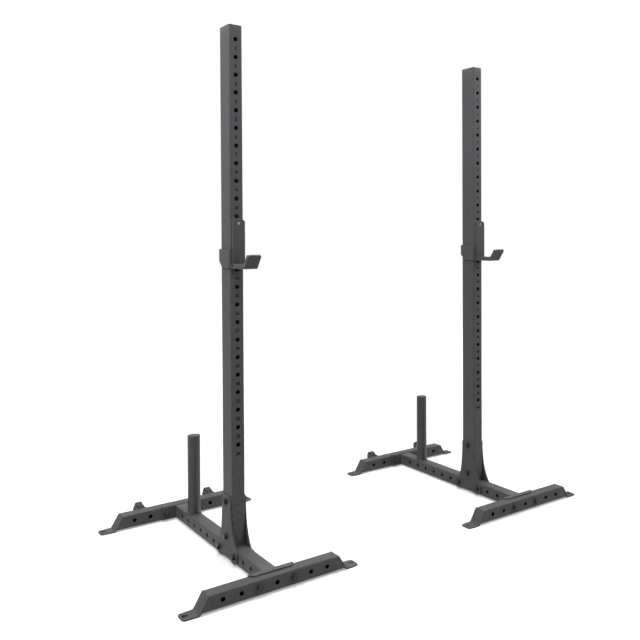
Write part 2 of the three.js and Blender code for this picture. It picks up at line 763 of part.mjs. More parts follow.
function addWheels(stand, side) {
  [-wheelOffset, wheelOffset].forEach((x, i) => {
    piece(stand, `${side}_wheel_bracket_${i + 1}`, geometry.wheelBracket, powderCoat, x, wheelY, wheelRise);
    piece(stand, `${side}_wheel_${i + 1}`, geometry.wheel, wheelRubber, x, wheelY, wheelRise);
  });
}

function makeStand(side, x) {
  const stand = new THREE.Group();
  stand.position.set(x, -(footprintFront + footprintRear) / 2, 0);
  addUpright(stand, side);
  addBase(stand, side);
  addGussets(stand, side);
  addPost(stand, side);
  addHook(stand, side);
  addWheels(stand, side);
  return stand;
}

const pair = new THREE.Group();
pair.add(makeStand("left", -standSpacing / 2));
pair.add(makeStand("right", standSpacing / 2));

export default pair;
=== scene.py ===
"""Squat stands: the finished surfaces, numbers, bolts and welds around the fixed solids, and the studio."""

import math

import bmesh
import bpy
import numpy as np
from bpy.props import FloatProperty, FloatVectorProperty, IntProperty, PointerProperty
from mathutils import Matrix, Vector
from mathutils.geometry import delaunay_2d_cdt


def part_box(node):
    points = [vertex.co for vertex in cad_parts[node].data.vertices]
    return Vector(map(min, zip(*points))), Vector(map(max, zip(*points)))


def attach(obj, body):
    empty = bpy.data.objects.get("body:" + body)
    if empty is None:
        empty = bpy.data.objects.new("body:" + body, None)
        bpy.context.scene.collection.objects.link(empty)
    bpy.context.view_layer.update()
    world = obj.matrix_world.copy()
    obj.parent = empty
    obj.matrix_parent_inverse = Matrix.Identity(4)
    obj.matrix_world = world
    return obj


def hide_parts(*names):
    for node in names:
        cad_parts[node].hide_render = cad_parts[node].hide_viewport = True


bl_info = {
    "name": "Squat Stand Finisher",
    "version": (1, 0, 0),
    "blender": (4, 5, 0),
    "location": "3D View > Sidebar > Squat Stand",
    "description": "Dresses a pair of squat stands with round holes, numbers, welds and finishes",
    "category": "Object",
}

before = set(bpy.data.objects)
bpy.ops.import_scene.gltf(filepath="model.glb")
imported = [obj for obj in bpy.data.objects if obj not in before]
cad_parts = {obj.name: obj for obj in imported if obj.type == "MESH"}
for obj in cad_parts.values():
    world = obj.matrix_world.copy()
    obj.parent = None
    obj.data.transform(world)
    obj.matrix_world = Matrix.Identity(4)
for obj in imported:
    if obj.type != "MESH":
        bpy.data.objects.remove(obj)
SIDES = ("left", "right")
ENDS = ("front", "rear")


# Sizes and colours that a user would change

def length(name, default, description):
    return FloatProperty(name=name, description=description, default=default, unit="LENGTH", precision=4)


def colour(name, default, description):
    return FloatVectorProperty(
        name=name, description=description, default=default, subtype="COLOR", size=3, min=0, max=1)


class StandSizes(bpy.types.PropertyGroup):
    """Sizes that the fixed solids don't carry by themselves."""

    pitch: length("Hole pitch", 0.0625, "Distance between neighbouring holes")
    hole: length("Hole", 0.016, "Diameter of the numbered holes and the base holes")
    holes: IntProperty(name="Numbered holes", description="Holes down each upright", default=24)
    wall: length("Tube wall", 0.003, "Wall thickness of the tubes")
    corner: length("Upright corner", 0.006, "Outer corner radius of the upright tubes")
    base_corner: length("Base corner", 0.004, "Outer corner radius of the base tubes")
    top_margin: length("Top margin", 0.048, "From the top of an upright down to its first hole")
    slope: length("Slope", 0.030, "How far a cross member's ends slope outwards over their height")
    soft: length("Soft edge", 0.0007, "Radius left on the edges of cut plates")
    digit: length("Number height", 0.0125, "Height of the digits under the holes")
    bead: length("Weld bead", 0.0026, "Half width of a weld bead")


class HookSizes(bpy.types.PropertyGroup):
    """Sizes of the hooks, measured from the pin's axis and the upright's front face."""

    number: IntProperty(name="Hole number", description="The numbered hole that holds the pin", default=12)
    steel: length("Steel", 0.006, "Thickness of the bent plate")
    gap: length("Gap", 0.0003, "Clearance between touching pieces")
    top: length("Top", 0.055, "Height of the back plate above the pin")
    drop: length("Drop", 0.121, "Depth of the shelf's underside below the pin")
    reach: length("Reach", 0.110, "Length of the shelf's underside")
    lip_rise: length("Lip rise", 0.046, "Height of the lip over the shelf")
    lip_lean: length("Lip lean", 0.034, "How far the lip leans outwards")
    wing_top: length("Flange top", 0.054, "Depth of the side flange's top below the pin")
    wing_reach: length("Flange reach", 0.080, "Length of the side flange")
    wing_cut: length("Flange cut", 0.025, "Cut across the side flange's lower corner")


class StandColours(bpy.types.PropertyGroup):
    """Colours of the finishes."""

    powder: colour("Powder coat", (0.060, 0.061, 0.064), "Dark grey of the coated steel")
    liner: colour("Liner", (0.030, 0.030, 0.031), "Plastic that the bar rests on")
    plastic: colour("Plugs", (0.020, 0.020, 0.020), "Plastic of the end plugs")
    bolts: colour("Bolts", (0.009, 0.009, 0.0095), "Blackened steel of the bolts and nuts")
    rubber: colour("Wheels", (0.022, 0.022, 0.022), "Rubber of the transport wheels")
    digits: colour("Numbers", (0.001, 0.001, 0.001), "Ink of the numbers")
    post: colour("Posts", (0.022, 0.022, 0.023), "Darker, smoother paint of the plate posts")


def sizes():
    return bpy.context.scene.stand_sizes


def hook_sizes():
    return bpy.context.scene.hook_sizes


def base_colour(name):
    return tuple(getattr(bpy.context.scene.stand_colours, name))


# Shells: patches of points and faces, welded into one closed mesh

class Shell:
    """Patches of a surface, kept as whole arrays until they are welded."""

    def __init__(self, *parts):
        self.points, self.faces, self.count = [], [], 0
        for part in parts:
            self.add(np.concatenate(part.points), part.faces)

    def add(self, points, faces):
        points = np.asarray(points, float).reshape(-1, 3)
        self.points.append(points)
        self.faces += [tuple(i + self.count for i in f) for f in faces]
        self.count += len(points)

    def grid(self, surface, close_u=False, close_v=False, skip=None):
        """Quads between neighbouring points of a grid.

        close_u and close_v join its last row or column to its first."""
        rows, cols = surface.shape[:2]
        u = np.arange(rows if close_u else rows - 1)
        v = np.arange(cols if close_v else cols - 1)
        u, v = (x.ravel() for x in np.meshgrid(u, v, indexing="ij"))
        if skip is not None:
            keep = ~skip[u, v]
            u, v = u[keep], v[keep]
        u2, v2 = (u + 1) % rows, (v + 1) % cols
        quads = np.stack([u * cols + v, u * cols + v2, u2 * cols + v2, u2 * cols + v], 1)
        self.add(surface, quads)

    def holed(self, corners, loop):
        """Fills the rectangle of four corners around a loop.

        Each corner fans out to its quarter of the loop, which starts on the side before the first one."""
        n = len(loop)
        quarter = n // 4
        m = np.arange(n)
        fans = np.stack([m // quarter, 4 + m, 4 + (m + 1) % n], 1)
        c = np.arange(4)
        links = np.stack([c, 4 + (c + 1) * quarter % n, (c + 1) % 4], 1)
        self.add(np.concatenate([corners, loop]), np.concatenate([fans, links]))

    def cap(self, row):
        """Fills a closed row by a fan to its middle."""
        n = len(row)
        m = np.arange(n)
        self.add(np.concatenate([row, [row.mean(0)]]), np.stack([m, (m + 1) % n, np.full(n, n)], 1))

    def solid(self, surface):
        """A grid closed round its columns, with both end rows capped."""
        self.grid(surface, close_v=True)
        self.cap(surface[0])
        self.cap(surface[-1])

    def mesh(self, name, material, smooth, even):
        """Welds the patches, turns every face outwards and returns the object."""
        data = bpy.data.meshes.new(name)
        data.from_pydata(np.concatenate(self.points).tolist(), [], self.faces)
        work = bmesh.new()
        work.from_mesh(data)
        bmesh.ops.remove_doubles(work, verts=work.verts, dist=2e-6)
        bmesh.ops.dissolve_degenerate(work, edges=work.edges, dist=1e-7)
        bmesh.ops.recalc_face_normals(work, faces=work.faces)
        work.to_mesh(data)
        work.free()
        data.shade_smooth()
        data.set_sharp_from_angle(angle=math.radians(smooth))
        data.materials.append(material)
        piece = bpy.data.objects.new(name, data)
        bpy.context.scene.collection.objects.link(piece)
        if even:
            piece.modifiers.new("Even shading", "WEIGHTED_NORMAL").keep_sharp = True
        return piece


def along(axes, origin, way=1):
    """A function that puts lengths (s, a, b) on the named world axes, s along or against its axis."""
    s_axis, a_axis, b_axis = ("xyz".index(c) for c in axes)

    def place(s, a, b):
        s, a, b = np.broadcast_arrays(way * s, a, b)
        out = np.zeros(s.shape + (3,))
        out[..., s_axis], out[..., a_axis], out[..., b_axis] = s, a, b
        return out + np.asarray(origin)
    return place


def middle_of(node):
    """The low corner, the high corner and the middle of a node's box."""
    lo, hi = (np.array(v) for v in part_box(node))
    return lo, hi, (lo + hi) / 2


def dress(shell, name, look, body, node=None, smooth=35, even=True):
    """Makes a piece that moves with its body and, where a node is named, stands for that node."""
    piece = shell.mesh(name, finish(look), smooth, even)
    if node is not None:
        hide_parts(node)
    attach(piece, body)


# Surfaces

def round_profile(half_a, half_b, radius, steps=6):
    """Points round a rectangle: four quarter circles of the radius about its inset corners."""
    turn = np.radians(np.linspace(0, 90, steps + 1)[None, :] + 90 * np.arange(4)[:, None])
    sign_a = np.array([1, -1, -1, 1])[:, None]
    sign_b = np.array([1, 1, -1, -1])[:, None]
    a = sign_a * (half_a - radius) + radius * np.cos(turn)
    b = sign_b * (half_b - radius) + radius * np.sin(turn)
    return np.stack([a.ravel(), b.ravel()], 1)


def ring_angles(count=32):
    return -np.pi + 2 * np.pi * np.arange(count) / count


def drilled_tube(place, low, high, half_a, half_b, corner, holes, slant=0.0):
    """A rectangular tube along s with a hole through both of its b faces at each place in holes.

    Every surface is a grid of rounded profile times rows along s; a row with a hole has a ring of
    radius r(t) = (r cos t, r sin t) in place of its flat quad. slant leans both ends as they rise in a.
    """
    size = sizes()
    radius, wall, steps, soft = size.hole / 2, size.wall, 6, 0.0004
    holes = np.asarray(holes, float)
    reach = size.pitch / 2
    rows = np.unique(np.round(np.concatenate([[low, high], holes - reach, holes + reach]), 7))
    rows = rows[(rows >= low - 1e-6) & (rows <= high + 1e-6)]
    drilled = np.array([np.any((holes > a) & (holes < b)) for a, b in zip(rows[:-1], rows[1:])])
    lean = np.zeros(len(rows))
    lean[0], lean[-1] = -slant, slant
    shell, rims, turn = Shell(), [], ring_angles()
    for depth in (0.0, wall):
        a_half, b_half = half_a - depth, half_b - depth
        section = round_profile(a_half, b_half, corner - depth)
        s = rows[:, None] - lean[:, None] * section[None, :, 0]
        skin = place(s, section[None, :, 0], section[None, :, 1])
        skip = np.zeros(skin.shape[:2], bool)
        skip[:-1, steps] = drilled
        skip[:-1, 3 * steps + 2] = drilled
        shell.grid(skin, close_v=True, skip=skip)
        edge = a_half - (corner - depth)
        rim = radius + (soft if depth == 0 else 0)
        for side in (1, -1):
            for j in np.flatnonzero(drilled):
                centre = holes[(holes > rows[j]) & (holes < rows[j + 1])][0]
                s_low = rows[j] - lean[j] * np.array([-edge, edge])
                s_high = rows[j + 1] - lean[j + 1] * np.array([-edge, edge])
                corners = place(
                    np.array([s_low[0], s_low[1], s_high[1], s_high[0]]),
                    np.array([-edge, edge, edge, -edge]), side * b_half)
                loop = place(centre + rim * np.sin(turn), rim * np.cos(turn), side * b_half)
                shell.holed(corners, loop)
                if depth == 0:
                    rims.append((centre, side))
        if depth == 0:
            outer = skin
        else:
            for row in (0, -1):
                shell.grid(np.stack([outer[row], skin[row]]), close_v=True)
    for centre, side in rims:
        radii = np.array([radius + soft, radius, radius])
        depths = np.array([half_b, half_b - soft, half_b - wall])
        shell.grid(place(
            centre + radii[:, None] * np.sin(turn), radii[:, None] * np.cos(turn),
            side * depths[:, None]), close_v=True)
    return shell


def offset_loop(loop, reach):
    """Moves a loop inwards by reach: each point goes along the mitre of its two edges' normals."""
    edge = np.roll(loop, -1, 0) - loop
    edge = edge / np.linalg.norm(edge, axis=1, keepdims=True)
    normal = np.stack([edge[:, 1], -edge[:, 0]], 1)
    before = np.roll(normal, 1, 0)
    mitre = (normal + before) / (1 + np.sum(normal * before, 1, keepdims=True))
    return loop - mitre * reach


def cut_plate(loops, thickness, soft, place, steps=3):
    """A flat plate with soft edges. The first loop is the outline, walked anticlockwise, and the others are
    holes, walked clockwise and convex, so that a face with all its corners on one of them is left out. Its
    edge is a quarter circle, inset soft(1 - sin t) and raised soft(1 - cos t)."""
    shell = Shell()
    turn = np.radians(np.linspace(0, 90, steps + 1))
    inset, drop = soft * (1 - np.sin(turn)), soft * (1 - np.cos(turn))
    inset = np.concatenate([inset, inset[::-1]])
    level = np.concatenate([thickness / 2 - drop, -(thickness / 2 - drop[::-1])])
    for loop in loops:
        rings = np.stack([offset_loop(loop, i) for i in inset])
        shell.grid(place(rings[..., 0], rings[..., 1], level[:, None]), close_v=True)
    flat = [offset_loop(loop, soft) for loop in loops]
    start = np.cumsum([0] + [len(f) for f in flat])
    edges = np.concatenate([
        np.stack([np.arange(len(f)), (np.arange(len(f)) + 1) % len(f)], 1) + start[i]
        for i, f in enumerate(flat)])
    found = delaunay_2d_cdt(
        [Vector(p) for p in np.concatenate(flat).tolist()], edges.tolist(), [], 5, 1e-9)
    points = np.array([(p.x, p.y) for p in found[0]])
    loop_of = np.repeat(np.arange(len(flat)), [len(f) for f in flat])
    owner = np.array([loop_of[source[0]] for source in found[3]])
    faces = [f for f in found[2] if owner[f[0]] == 0 or len(set(owner[list(f)])) > 1]
    for side in (1, -1):
        shell.add(place(points[:, 0], points[:, 1], np.full(len(points), side * thickness / 2)), faces)
    return shell


def arc(cx, cy, radius, start, end, steps):
    turn = np.radians(np.linspace(start, end, steps + 1))
    return np.stack([cx + radius * np.cos(turn), cy + radius * np.sin(turn)], 1)


def round_outline(low_a, high_a, low_b, high_b, radius, steps=6):
    """A rectangle walked anticlockwise from low-low, with round corners."""
    corners = ((low_a + radius, low_b + radius, 180), (high_a - radius, low_b + radius, 270),
               (high_a - radius, high_b - radius, 0), (low_a + radius, high_b - radius, 90))
    return np.concatenate([arc(a, b, radius, start, start + 90, steps) for a, b, start in corners])


def bevel_outline(low_a, high_a, low_b, high_b, cut):
    """A rectangle walked anticlockwise with its upper corners cut off at 45 degrees."""
    return np.array([(low_a, low_b), (high_a, low_b), (high_a, high_b - cut), (high_a - cut, high_b),
                     (low_a + cut, high_b), (low_a, high_b - cut)], float)


def bow(first, pull, last, steps):
    """A curve from first to last that starts towards pull and ends coming from it:
    p(t) = (1 - t)^2 first + 2 t (1 - t) pull + t^2 last."""
    first, pull, last = (np.asarray(point, float) for point in (first, pull, last))
    t = np.linspace(0, 1, steps + 1)[:, None]
    return (1 - t) ** 2 * first + 2 * t * (1 - t) * pull + t ** 2 * last


def bent_path(points, radius, steps=8):
    """Straight runs joined by arcs of the radius: returns places along the path and its left normals."""
    points = np.asarray(points, float)
    places, normals = [], []
    heading = points[1:] - points[:-1]
    heading /= np.linalg.norm(heading, axis=1, keepdims=True)
    left = np.stack([-heading[:, 1], heading[:, 0]], 1)
    places.append(points[0][None])
    normals.append(left[0][None])
    for i in range(1, len(points) - 1):
        into, out = heading[i - 1], heading[i]
        turn = math.atan2(into[0] * out[1] - into[1] * out[0], into @ out)
        side = math.copysign(1, turn)
        start = points[i] - into * radius * math.tan(abs(turn) / 2)
        centre = start + side * left[i - 1] * radius
        angle = turn * np.linspace(0, 1, steps + 1)
        spoke = -side * left[i - 1]
        cos, sin = np.cos(angle)[:, None], np.sin(angle)[:, None]
        spokes = cos * spoke + sin * np.array([-spoke[1], spoke[0]])
        places.append(centre + radius * spokes)
        normals.append(-side * spokes)
    places.append(points[-1][None])
    normals.append(left[-1][None])
    return np.concatenate(places), np.concatenate(normals)


def swept_plate(path, normals, half, thickness, soft, place, slot=None, level=None):
    """A bent plate: a rounded rectangle, half wide to each side, carried along the path.

    half is a width rule, which gives the half width at a run along the path and the rows that it needs.
    slot is (start, end, half width) of a stadium through the plate, in lengths along the path; its rows
    have a ring in place of their quads. Both ends close over a quarter circle: the section shrinks by
    soft(1 - cos t) while it runs soft sin t. level mitres the first end: its rows slide along the first
    run onto that height.
    """
    step = np.linalg.norm(np.diff(path, axis=0), axis=1)
    run = np.concatenate([[0], np.cumsum(step)])
    total = run[-1]
    extra = [total - soft, soft] + half.rows
    cell = None
    if slot is not None:
        cell = (slot[0] - slot[2], slot[1] + slot[2])
        extra += list(cell)
    rows = np.unique(np.round(np.concatenate([run, extra]), 7))
    rows = rows[(rows >= soft - 1e-9) & (rows <= total - soft + 1e-9)]
    if cell:
        rows = rows[(rows <= cell[0] + 1e-9) | (rows >= cell[1] - 1e-9)]
    turn = np.radians(np.linspace(0, 90, 4))[1:]
    lead = soft * (1 - np.sin(turn))
    pinch = soft * (1 - np.cos(turn))
    rows = np.concatenate([lead[::-1], rows, total - lead])
    shrink = np.concatenate([pinch[::-1], np.zeros(len(rows) - 2 * len(pinch)), pinch])
    centre = np.stack([np.interp(rows, run, path[:, k]) for k in (0, 1)], 1)
    normal = np.stack([np.interp(rows, run, normals[:, k]) for k in (0, 1)], 1)
    normal /= np.linalg.norm(normal, axis=1, keepdims=True)
    reach = half(rows) - shrink
    inner = slot[2] * 1.6 if slot else 0.004  # half width of the flat strip that a slot is cut in
    deep = thickness / 2 - shrink
    edge = np.maximum(soft - shrink, 1e-5)
    turn = np.radians(np.linspace(0, 90, 4))
    across, height = [], []
    for sign_a, sign_h, start in ((1, 1, 90), (1, -1, 0), (-1, -1, -90), (-1, 1, -180)):
        for t in np.radians(start) - turn:
            across.append(sign_a * (reach - edge) + edge * np.cos(t))
            height.append(sign_h * (deep - edge) + edge * np.sin(t))
        if (sign_a, sign_h) in ((1, -1), (-1, 1)):
            for s in ((1, -1) if sign_h < 0 else (-1, 1)):
                across.append(np.full_like(reach, s * inner))
                height.append(sign_h * deep)
    across, height = np.stack(across, 1), np.stack(height, 1)
    if hasattr(half, "shift"):
        across = across + half.shift(rows)[:, None]
    flat = centre[:, None, :] + height[..., None] * normal[:, None, :]
    if level is not None:
        heading = (path[1] - path[0]) / np.linalg.norm(path[1] - path[0])
        first = rows <= soft + 1e-9
        target = level - rows[first] * abs(heading[1])
        slide = (target[:, None] - flat[first][..., 1]) / heading[1]
        flat[first] += slide[..., None] * heading
    skin = place(flat[..., 0], flat[..., 1], across)
    shell = Shell()
    skip = np.zeros(skin.shape[:2], bool)
    if cell:
        j = int(np.argmin(np.abs(rows - cell[0])))
        skip[j, [8, 18]] = True  # the flat strips of the two faces
    shell.grid(skin, close_v=True, skip=skip)
    shell.cap(skin[0])
    shell.cap(skin[-1])
    if cell:
        t = ring_angles()
        r = slot[2]
        loops = []
        ring_run = np.where(np.sin(t) > 1e-9, slot[1], slot[0]) + r * np.sin(t)
        ring_run = np.where(np.abs(np.sin(t)) < 1e-9, (slot[0] + slot[1]) / 2, ring_run)
        ring_across = r * np.cos(t)
        mid = np.stack([np.interp(ring_run, run, path[:, k]) for k in (0, 1)], 1)
        up = normal[j]
        for side in (1, -1):
            ends = centre[[j, j, j + 1, j + 1]] + side * deep[j] * up
            corners = place(ends[:, 0], ends[:, 1], inner * np.array([-1, 1, 1, -1]))
            on = mid + side * deep[j] * up
            loop = place(on[:, 0], on[:, 1], ring_across)
            loops.append(loop)
            shell.holed(corners, loop)
        shell.grid(np.stack(loops), close_v=True)
    return shell


def turned(profile, place, count=48):
    """A surface of revolution: each profile point (r, h) carried round the h axis."""
    profile = np.asarray(profile, float)
    t = 2 * np.pi * np.arange(count) / count
    r, h = profile[:, 0][:, None], profile[:, 1][:, None]
    return place(h + 0 * t, r * np.cos(t), r * np.sin(t))


def hexagon(shell, place, across, low, high):
    """A hexagonal prism whose corners are turned off by a 30 degree cone at its outer face:
    r(t) = across / 2 / cos(t folded to 30 degrees), and the flank ends at high - (r(t) - face) tan 30."""
    t = 2 * np.pi * np.arange(48) / 48
    fold = np.abs((t + np.pi / 6) % (np.pi / 3) - np.pi / 6)
    radius = across / 2 / np.cos(fold)
    face = 0.475 * across
    drop = (radius - face) * math.tan(math.radians(30))
    one = np.ones_like(t)
    rows_h = [low * one, high - math.copysign(1, high - low) * drop, high * one]
    rows_r = [radius, radius, face * one]
    h, r = np.stack(rows_h), np.stack(rows_r)
    shell.solid(place(h, r * np.cos(t), r * np.sin(t)))


def lathe(shell, place, profile, count=48):
    shell.solid(turned(profile, place, count))


def threads(low, high, radius, pitch=0.002, depth=0.0006):
    """A profile of ridges along a shank: r(h) = radius - depth (1 - |sin(pi h / pitch)|)."""
    h = np.arange(low, high, pitch / 4)
    r = radius - depth * (1 - np.abs(np.sin(np.pi * (h - low) / pitch)))
    return np.stack([r, h], 1)


def bead(points, outward, size, closed, seed=0, squash=0.75):
    """A weld bead: a half round carried along a path, swelling with each drop laid down:
    r(s) = size (1 + 0.13 |sin(pi s / 2.1 mm)| + slow wander)."""
    points, outward = np.asarray(points, float), np.asarray(outward, float)
    step = np.linalg.norm(np.diff(points, axis=0, append=points[:1] if closed else points[-1:]), axis=1)
    run = np.concatenate([[0], np.cumsum(step)[:-1]])
    total = run[-1] if not closed else step.sum()
    fine = np.arange(0, total, 0.0006)
    if closed:
        run = np.append(run, total)
        points = np.concatenate([points, points[:1]])
        outward = np.concatenate([outward, outward[:1]])
    where = np.stack([np.interp(fine, run, points[:, k]) for k in range(3)], 1)
    out = np.stack([np.interp(fine, run, outward[:, k]) for k in range(3)], 1)
    out /= np.linalg.norm(out, axis=1, keepdims=True)
    ahead = np.gradient(where, axis=0)
    ahead /= np.linalg.norm(ahead, axis=1, keepdims=True)
    up = np.cross(ahead, out)
    rng = np.random.default_rng(seed)
    wander = np.interp(fine, np.linspace(0, total, 40), rng.normal(0, 0.05, 40))
    radius = size * (1 + 0.13 * np.abs(np.sin(np.pi * fine / 0.0021)) + wander)
    if not closed:
        radius *= np.clip(np.minimum(fine, total - fine) / (1.5 * size), 0.15, 1) ** 0.5
    t = 2 * np.pi * np.arange(10) / 10
    circle = radius[:, None, None] * (
        np.cos(t)[None, :, None] * out[:, None, :] + squash * np.sin(t)[None, :, None] * up[:, None, :])
    surface = where[:, None, :] + circle
    shell = Shell()
    if closed:
        shell.grid(surface, close_u=True, close_v=True)
    else:
        shell.solid(surface)
    return shell


# Finishes

class Nodes:
    """Short hand for laying out the nodes of one material."""

    def __init__(self, name):
        self.material = bpy.data.materials.new(name)
        self.material.use_nodes = True
        self.tree = self.material.node_tree
        self.shader = self.tree.nodes["Principled BSDF"]
        self.place = self.add("ShaderNodeTexCoord").outputs["Object"]

    def add(self, kind, **values):
        node = self.tree.nodes.new(kind)
        for key, value in values.items():
            if hasattr(node, key):
                setattr(node, key, value)
            else:
                node.inputs[key.replace("_", " ")].default_value = value
        return node

    def link(self, out, into):
        self.tree.links.new(out, into)
        return out

    def noise(self, scale, detail=3.0, roughness=0.5, stretch=None):
        node = self.add("ShaderNodeTexNoise", Scale=scale, Detail=detail, Roughness=roughness)
        source = self.place
        if stretch is not None:
            mapping = self.add("ShaderNodeMapping")
            mapping.inputs["Scale"].default_value = stretch
            self.link(self.place, mapping.inputs["Vector"])
            source = mapping.outputs["Vector"]
        self.link(source, node.inputs["Vector"])
        return node.outputs["Fac"]

    def ramp(self, source, low, high, first, last):
        node = self.add("ShaderNodeMapRange")
        node.inputs["From Min"].default_value, node.inputs["From Max"].default_value = low, high
        node.inputs["To Min"].default_value, node.inputs["To Max"].default_value = first, last
        self.link(source, node.inputs["Value"])
        return node.outputs["Result"]

    def blend(self, factor, first, last):
        node = self.add("ShaderNodeMix", data_type="RGBA")
        self.link(factor, node.inputs[0])
        for index, value in ((6, first), (7, last)):
            if hasattr(value, "links"):
                self.link(value, node.inputs[index])
            else:
                node.inputs[index].default_value = (*value, 1.0)
        return node.outputs[2]

    def bump(self, source, strength, distance, after=None):
        node = self.add("ShaderNodeBump", Strength=strength, Distance=distance)
        self.link(source, node.inputs["Height"])
        if after is not None:
            self.link(after, node.inputs["Normal"])
        return node.outputs["Normal"]

    def math(self, operation, first, second):
        node = self.add("ShaderNodeMath", operation=operation)
        for socket, value in zip(node.inputs, (first, second)):
            if hasattr(value, "links"):
                self.link(value, socket)
            else:
                socket.default_value = value
        return node.outputs["Value"]

    def spread(self, source, low, high, first, last, most=1.0):
        """Goes from the first colour towards the last as the source goes from low to high."""
        return self.blend(self.ramp(source, low, high, 0.0, most), first, last)

    def surface(self, tone, rough, normal=None, **constants):
        """Links what was laid out to the shader and returns the material."""
        inputs = self.shader.inputs
        self.link(tone, inputs["Base Color"])
        self.link(rough, inputs["Roughness"])
        if normal is not None:
            self.link(normal, inputs["Normal"])
        for key, value in constants.items():
            inputs[key.replace("_", " ")].default_value = value
        return self.material


def shade(tone, factor):
    return tuple(min(1.0, c * factor) for c in tone)


def edge_highlight_and_wear(nodes, low=0.52, high=0.6):
    """Where a surface is sharply convex, from the mesh's pointiness, broken up by noise: the painted
    highlight along the powder coat's corners, and the lighter edges of the bolts.
    """
    point = nodes.add("ShaderNodeNewGeometry").outputs["Pointiness"]
    convex_mask = nodes.ramp(point, low, high, 0.0, 1.0)
    return nodes.math("MULTIPLY", convex_mask, nodes.ramp(nodes.noise(90, 4), 0.35, 0.7, 0.2, 1.0))


def powder_coat():
    """Fine-textured powder coat: orange peel and grain in the bump, cloudy colour and gloss, and a painted
    highlight along its sharp corners.
    """
    n, base = Nodes("powder_coat"), base_colour("powder")
    cloud = n.noise(7.0, 4)
    grain = n.noise(1500.0, 2, 0.6)
    peel = n.noise(520.0, 2, 0.5)
    tone = n.spread(cloud, 0.3, 0.7, shade(base, 0.92), shade(base, 1.08))
    tone = n.spread(grain, 0.35, 0.75, tone, shade(base, 1.5), 0.5)
    # painted highlight: the sharp corners are lightened towards 2.6 times the base colour, in place of the
    # lamps' sheen on the rounded edges
    tone = n.blend(n.math("MULTIPLY", edge_highlight_and_wear(n), 0.7), tone, shade(base, 2.6))
    rough = n.math("ADD", n.ramp(cloud, 0.3, 0.7, 0.54, 0.6), n.ramp(grain, 0.3, 0.7, -0.04, 0.05))
    normal = n.bump(grain, 0.25, 0.00012, n.bump(peel, 0.22, 0.00025))
    return n.surface(tone, rough, normal, Specular_IOR_Level=0.28)


def post_paint():
    """Smooth black paint, rubbed along the post where plates slide over it."""
    n, base = Nodes("post_paint"), base_colour("post")
    rubs = n.noise(60.0, 4, 0.6, (1.0, 1.0, 0.12))
    tone = n.spread(rubs, 0.35, 0.7, shade(base, 0.85), shade(base, 1.35))
    normal = n.bump(n.noise(900.0, 2, 0.5), 0.15, 0.00012)
    return n.surface(tone, n.ramp(rubs, 0.3, 0.7, 0.34, 0.46), normal)


def liner_plastic():
    """Thick plastic sheet: faint saw marks across it, a soft satin and scuffs."""
    n, base = Nodes("liner_plastic"), base_colour("liner")
    marks = n.noise(60.0, 3, 0.5, (1.0, 1.0, 14.0))
    scuff = n.noise(34.0, 5, 0.7)
    tone = n.spread(marks, 0.35, 0.65, shade(base, 0.9), shade(base, 1.12))
    tone = n.spread(scuff, 0.6, 0.8, tone, shade(base, 2.0), 0.35)
    return n.surface(tone, n.ramp(scuff, 0.3, 0.7, 0.42, 0.58), n.bump(marks, 0.15, 0.0003))


def plug_plastic():
    """Moulded plastic with a fine spark-eroded grain."""
    n, base = Nodes("plug_plastic"), base_colour("plastic")
    grain = n.noise(900.0, 3, 0.6)
    tone = n.spread(n.noise(20.0, 3), 0.3, 0.7, shade(base, 0.9), shade(base, 1.15))
    return n.surface(tone, n.ramp(grain, 0.3, 0.7, 0.42, 0.56), n.bump(grain, 0.3, 0.0002))


def black_bolts():
    """Blackened steel: oily satin, lighter on its sharp edges."""
    n, base = Nodes("black_bolts"), base_colour("bolts")
    patch = n.noise(160.0, 4)
    tone = n.spread(patch, 0.35, 0.7, shade(base, 0.8), shade(base, 1.3))
    tone = n.blend(n.math("MULTIPLY", edge_highlight_and_wear(n, 0.53, 0.62), 0.5), tone, (0.16, 0.16, 0.165))
    normal = n.bump(n.noise(700.0, 2), 0.12, 0.0001)
    return n.surface(tone, n.ramp(patch, 0.3, 0.7, 0.28, 0.42), normal, Specular_IOR_Level=0.3)


def bright_screw():
    """Zinc-plated screw with a turned grain."""
    n = Nodes("bright_screw")
    patch = n.noise(400.0, 3)
    tone = n.spread(patch, 0.3, 0.7, (0.2, 0.2, 0.205), (0.34, 0.34, 0.35))
    return n.surface(tone, n.ramp(patch, 0.3, 0.7, 0.25, 0.4), Metallic=0.9)


def wheel_rubber():
    """Dull rubber, dusty in places."""
    n, base = Nodes("wheel_rubber"), base_colour("rubber")
    dust = n.noise(45.0, 5, 0.65)
    tone = n.spread(dust, 0.5, 0.8, base, shade(base, 2.4), 0.5)
    return n.surface(tone, n.ramp(dust, 0.3, 0.7, 0.6, 0.78), n.bump(n.noise(600.0, 3), 0.3, 0.0002))


def number_ink():
    """Flat ink of the numbers, thinner at its edges."""
    n, base = Nodes("number_ink"), base_colour("digits")
    tone = n.spread(n.noise(800.0, 3), 0.4, 0.8, base, shade(base, 3.0), 0.4)
    return n.surface(tone, n.ramp(n.noise(500.0, 2), 0.3, 0.7, 0.65, 0.8), Specular_IOR_Level=0.1)


MADE = {}


def finish(look):
    """The look's material, made once."""
    if look not in MADE:
        MADE[look] = look()
    return MADE[look]


# Pieces

